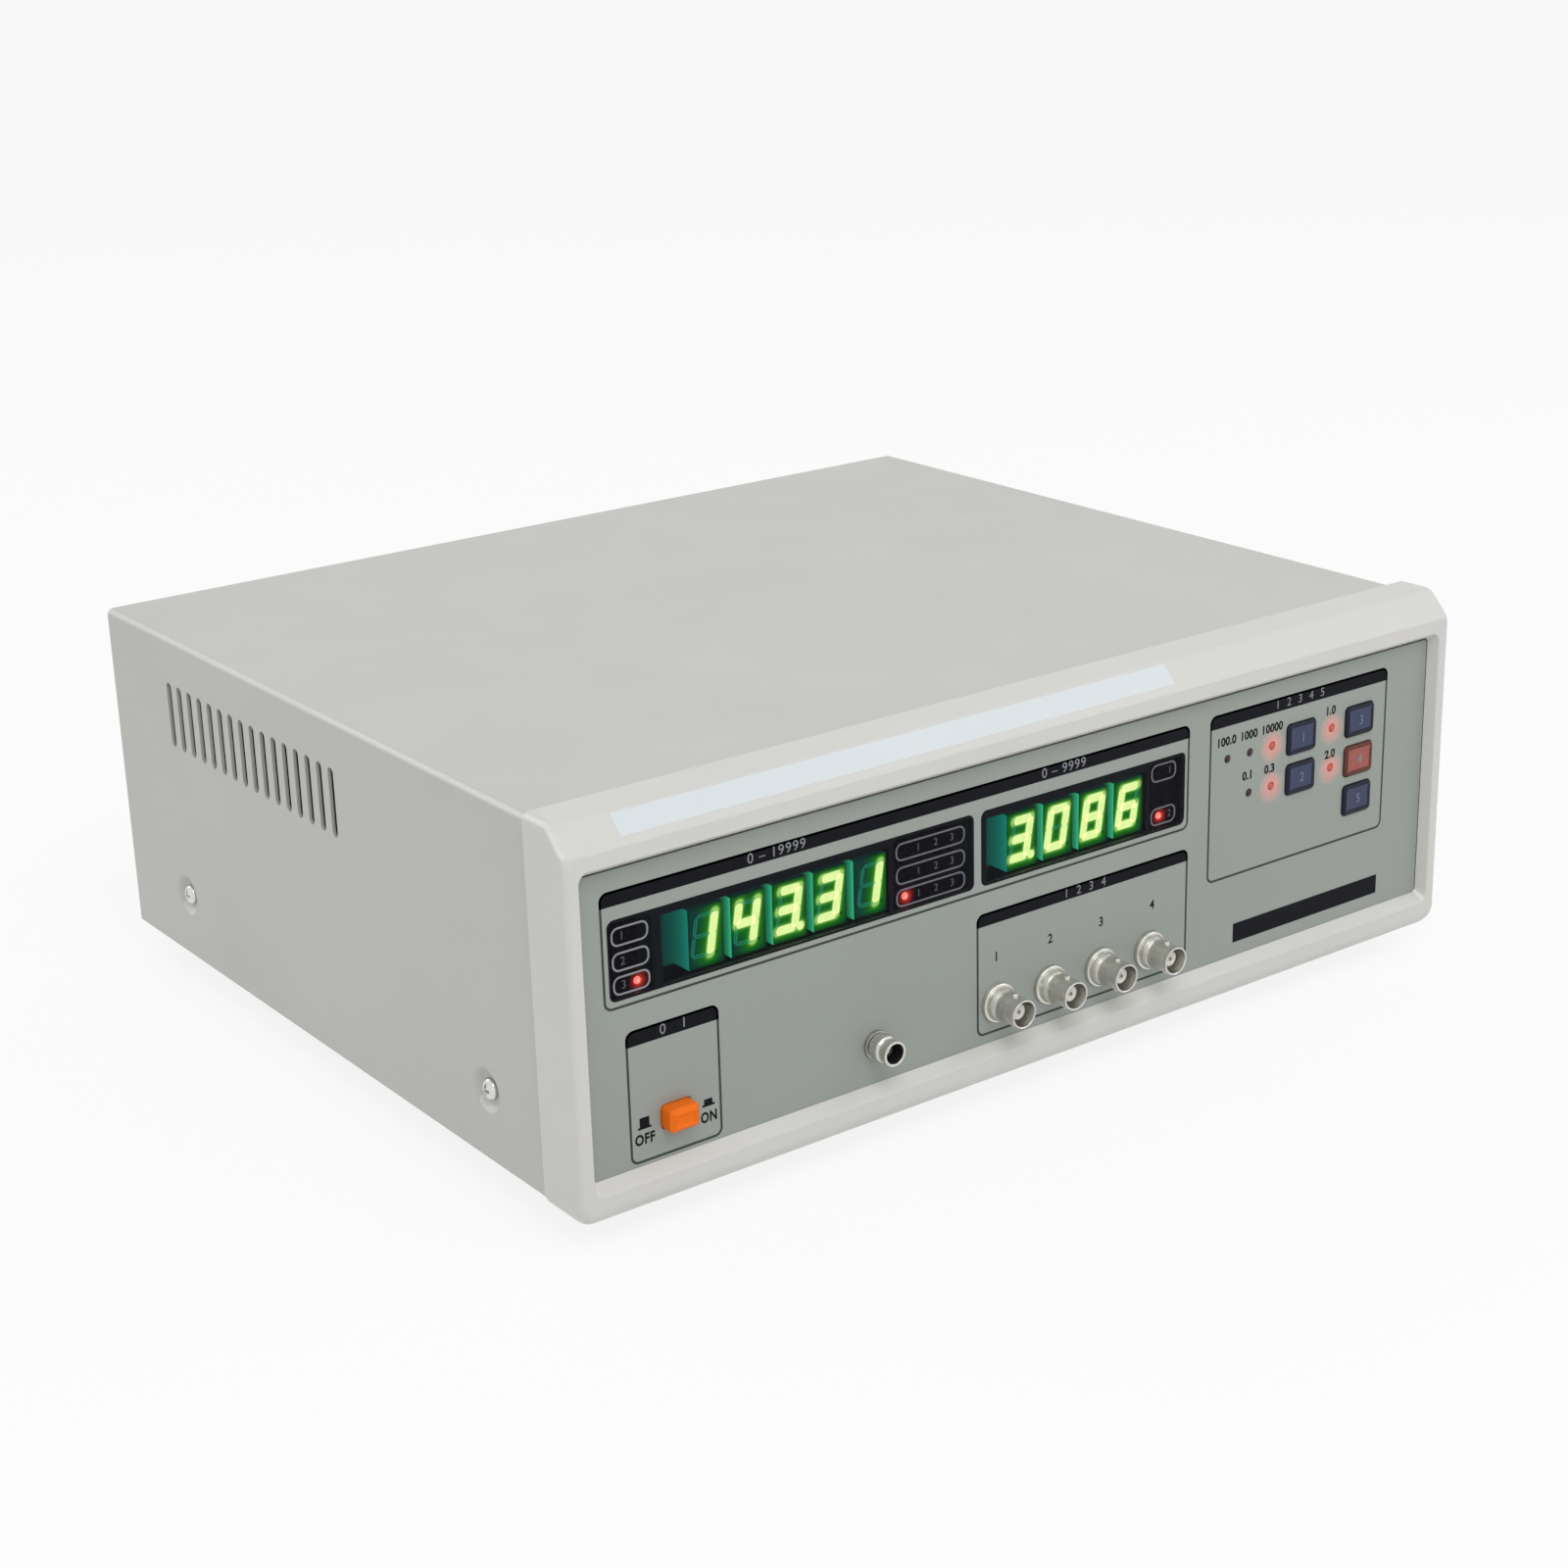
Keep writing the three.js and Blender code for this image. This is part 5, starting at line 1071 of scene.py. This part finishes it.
def pan_screw(name, x, y, z, axis, replaces=(), size=1.0, shank=8.0):
    """A pan-head screw with a cross recess, its head outwards along an axis."""
    profile = [(r * size, d * size) for r, d in (
        (0, 0.5), (1.0, 0.44), (2.0, 0.2), (2.8, -0.25), (3.35, -0.8), (3.55, -1.3), (3.6, -1.8),
        (3.5, -1.9))]
    under = profile[-1][1]
    profile += [(1.9 * size, under), (1.9 * size, under - shank + 1), (0.9 * size, under - shank),
                (0, under - shank)]
    made = draft(name, turned(lathe(profile, 0, 0, 40), x, y, z, axis))
    for wide, tall in ((2.1 * size, 0.5 * size), (0.5 * size, 2.1 * size)):
        top = rounded(-wide, -tall, wide, tall, 0.3 * size, 3)
        low = rounded(-wide * 0.55, -tall * 0.8, wide * 0.55, tall * 0.8, 0.15 * size, 3)
        carve(made, turned(loft([at_depth(low, -1.5 * size), at_depth(top, 0.6)]), x, y, z, axis))
    return dress(made, SCREW, "case", replaces)


# Screws of the cover
for hand, sign in (("left", -1), ("right", 1)):
    for end, y in zip(("front", "rear"), SEAT_DEPTHS):
        pan_screw(f"side_screw_{end}_{hand}", sign * COVER_HALF, y, SCREW_LINE, (sign, 0, 0),
                  [f"cover_screw_{end}_{hand}"])

# Small screws that hold the rear panel to its flanges
REAR_SCREWS = ((-170, 10), (170, 10), (-170, 60), (170, 60), (-60, 10), (60, 10))
for i, (x, z) in enumerate(REAR_SCREWS, 1):
    pan_screw(f"rear_screw_{i}", x, REAR_FACE + 1.33, z, (0, 1, 0), size=0.7, shank=2.2)

# Finishes of the CAD nodes that stay in view
FINISHES = {
    "bottom_tray": ZINC, "rear_panel": COVER_GREY, "display_board": BOARD, "main_board": BOARD,
    "power_plunger": WHITE_PLASTIC, "power_switch": BLACK, "mains_inlet": BLACK,
    "fuse_drawer": BLACK, "fuse": GLASS, "transformer_core": CORE_STEEL, "transformer_coil": COIL,
    "heat_sink": ALUMINIUM,
    **{f"indicator_block_{name}": BLOCK_BLACK for name in ("left", "middle", "right")},
    **{f"foot_{end}_{hand}": RUBBER
       for end in ("front", "rear") for hand in ("left", "right")}}
for name, finish in FINISHES.items():
    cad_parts[name].data.materials[0] = finish

# Floor, surroundings, lamps and camera
FLOOR_TONE = (0.9, 0.9, 0.9, 1)
FLOOR_REACH = 12
WHITE = (1, 1, 1, 1)
# The share of plain white in what the camera sees of the floor, and the world's light on things
FLOOR_WHITENESS = 0.85
WORLD_LIGHT = 0.62


def seen_directly(tree):
    """1 where the camera looks, also over gloss or through glass, and 0 for other rays."""
    ray = add_node(tree, "LightPath", {}).outputs
    seen = add_node(tree, "Math", {0: ray["Is Camera Ray"], 1: ray["Is Glossy Ray"]},
                    operation="MAXIMUM")
    return add_node(tree, "Math", {0: seen.outputs["Value"], 1: ray["Is Transmission Ray"]},
                    operation="MAXIMUM").outputs["Value"]


floor_material = bpy.data.materials.new("floor")
floor_material.use_nodes = True
tree = floor_material.node_tree
floor_shader = tree.nodes["Principled BSDF"]
feed(floor_shader, {"Base Color": FLOOR_TONE, "Roughness": 0.9, "Specular IOR Level": 0.1})
plain_white = add_node(tree, "Emission", {"Color": WHITE, "Strength": 1.0})
share = add_node(tree, "Math", {0: seen_directly(tree), 1: FLOOR_WHITENESS}, operation="MULTIPLY")
blend = add_node(tree, "MixShader", {"Fac": share.outputs["Value"], 1: floor_shader.outputs["BSDF"],
                                     2: plain_white.outputs["Emission"]})
feed(tree.nodes["Material Output"], {"Surface": blend.outputs["Shader"]})
floor_mesh = bpy.data.meshes.new("floor")
corners = [(x * FLOOR_REACH, y * FLOOR_REACH, 0) for x, y in ((-1, -1), (1, -1), (1, 1), (-1, 1))]
floor_mesh.from_pydata(corners, [], [(0, 1, 2, 3)])
floor_mesh.materials.append(floor_material)
floor = placed("floor", floor_mesh)

world = bpy.data.worlds.new("studio")
bpy.context.scene.world = world
world.use_nodes = True
tree = world.node_tree
strength = add_node(tree, "MapRange", {"Value": seen_directly(tree), "To Min": WORLD_LIGHT,
                                       "To Max": 1.0})
feed(tree.nodes["Background"], {"Color": WHITE, "Strength": strength.outputs["Result"]})


def lamp(name, place, target, size, watts):
    light = bpy.data.lights.new(name, "AREA")
    light.shape = "RECTANGLE"
    light.size, light.size_y = size
    light.energy = watts
    made = placed(name, light)
    made.location = place
    made.rotation_euler = (Vector(target) - Vector(place)).to_track_quat("-Z", "Y").to_euler()


lamp("key_lamp", (-0.5, -1.3, 1.7), (0, 0, 0.06), (1.3, 1.0), 14)
lamp("fill_lamp", (1.4, -0.9, 1.2), (0, 0, 0.06), (1.2, 1.2), 5)
lamp("rim_lamp", (-1.05, 1.65, 1.3), (-0.18, 0, 0.12), (0.5, 0.3), 4)

camera = bpy.data.cameras.new("camera")
camera.lens = 63.583
camera.clip_end = 100
view = placed("camera", camera)
view.location = (-0.551496, -0.759239, 0.396956)
view.rotation_euler = (1.230946, 0.026759, -0.639880)
bpy.context.scene.camera = view
bpy.context.scene.view_settings.view_transform = "Standard"
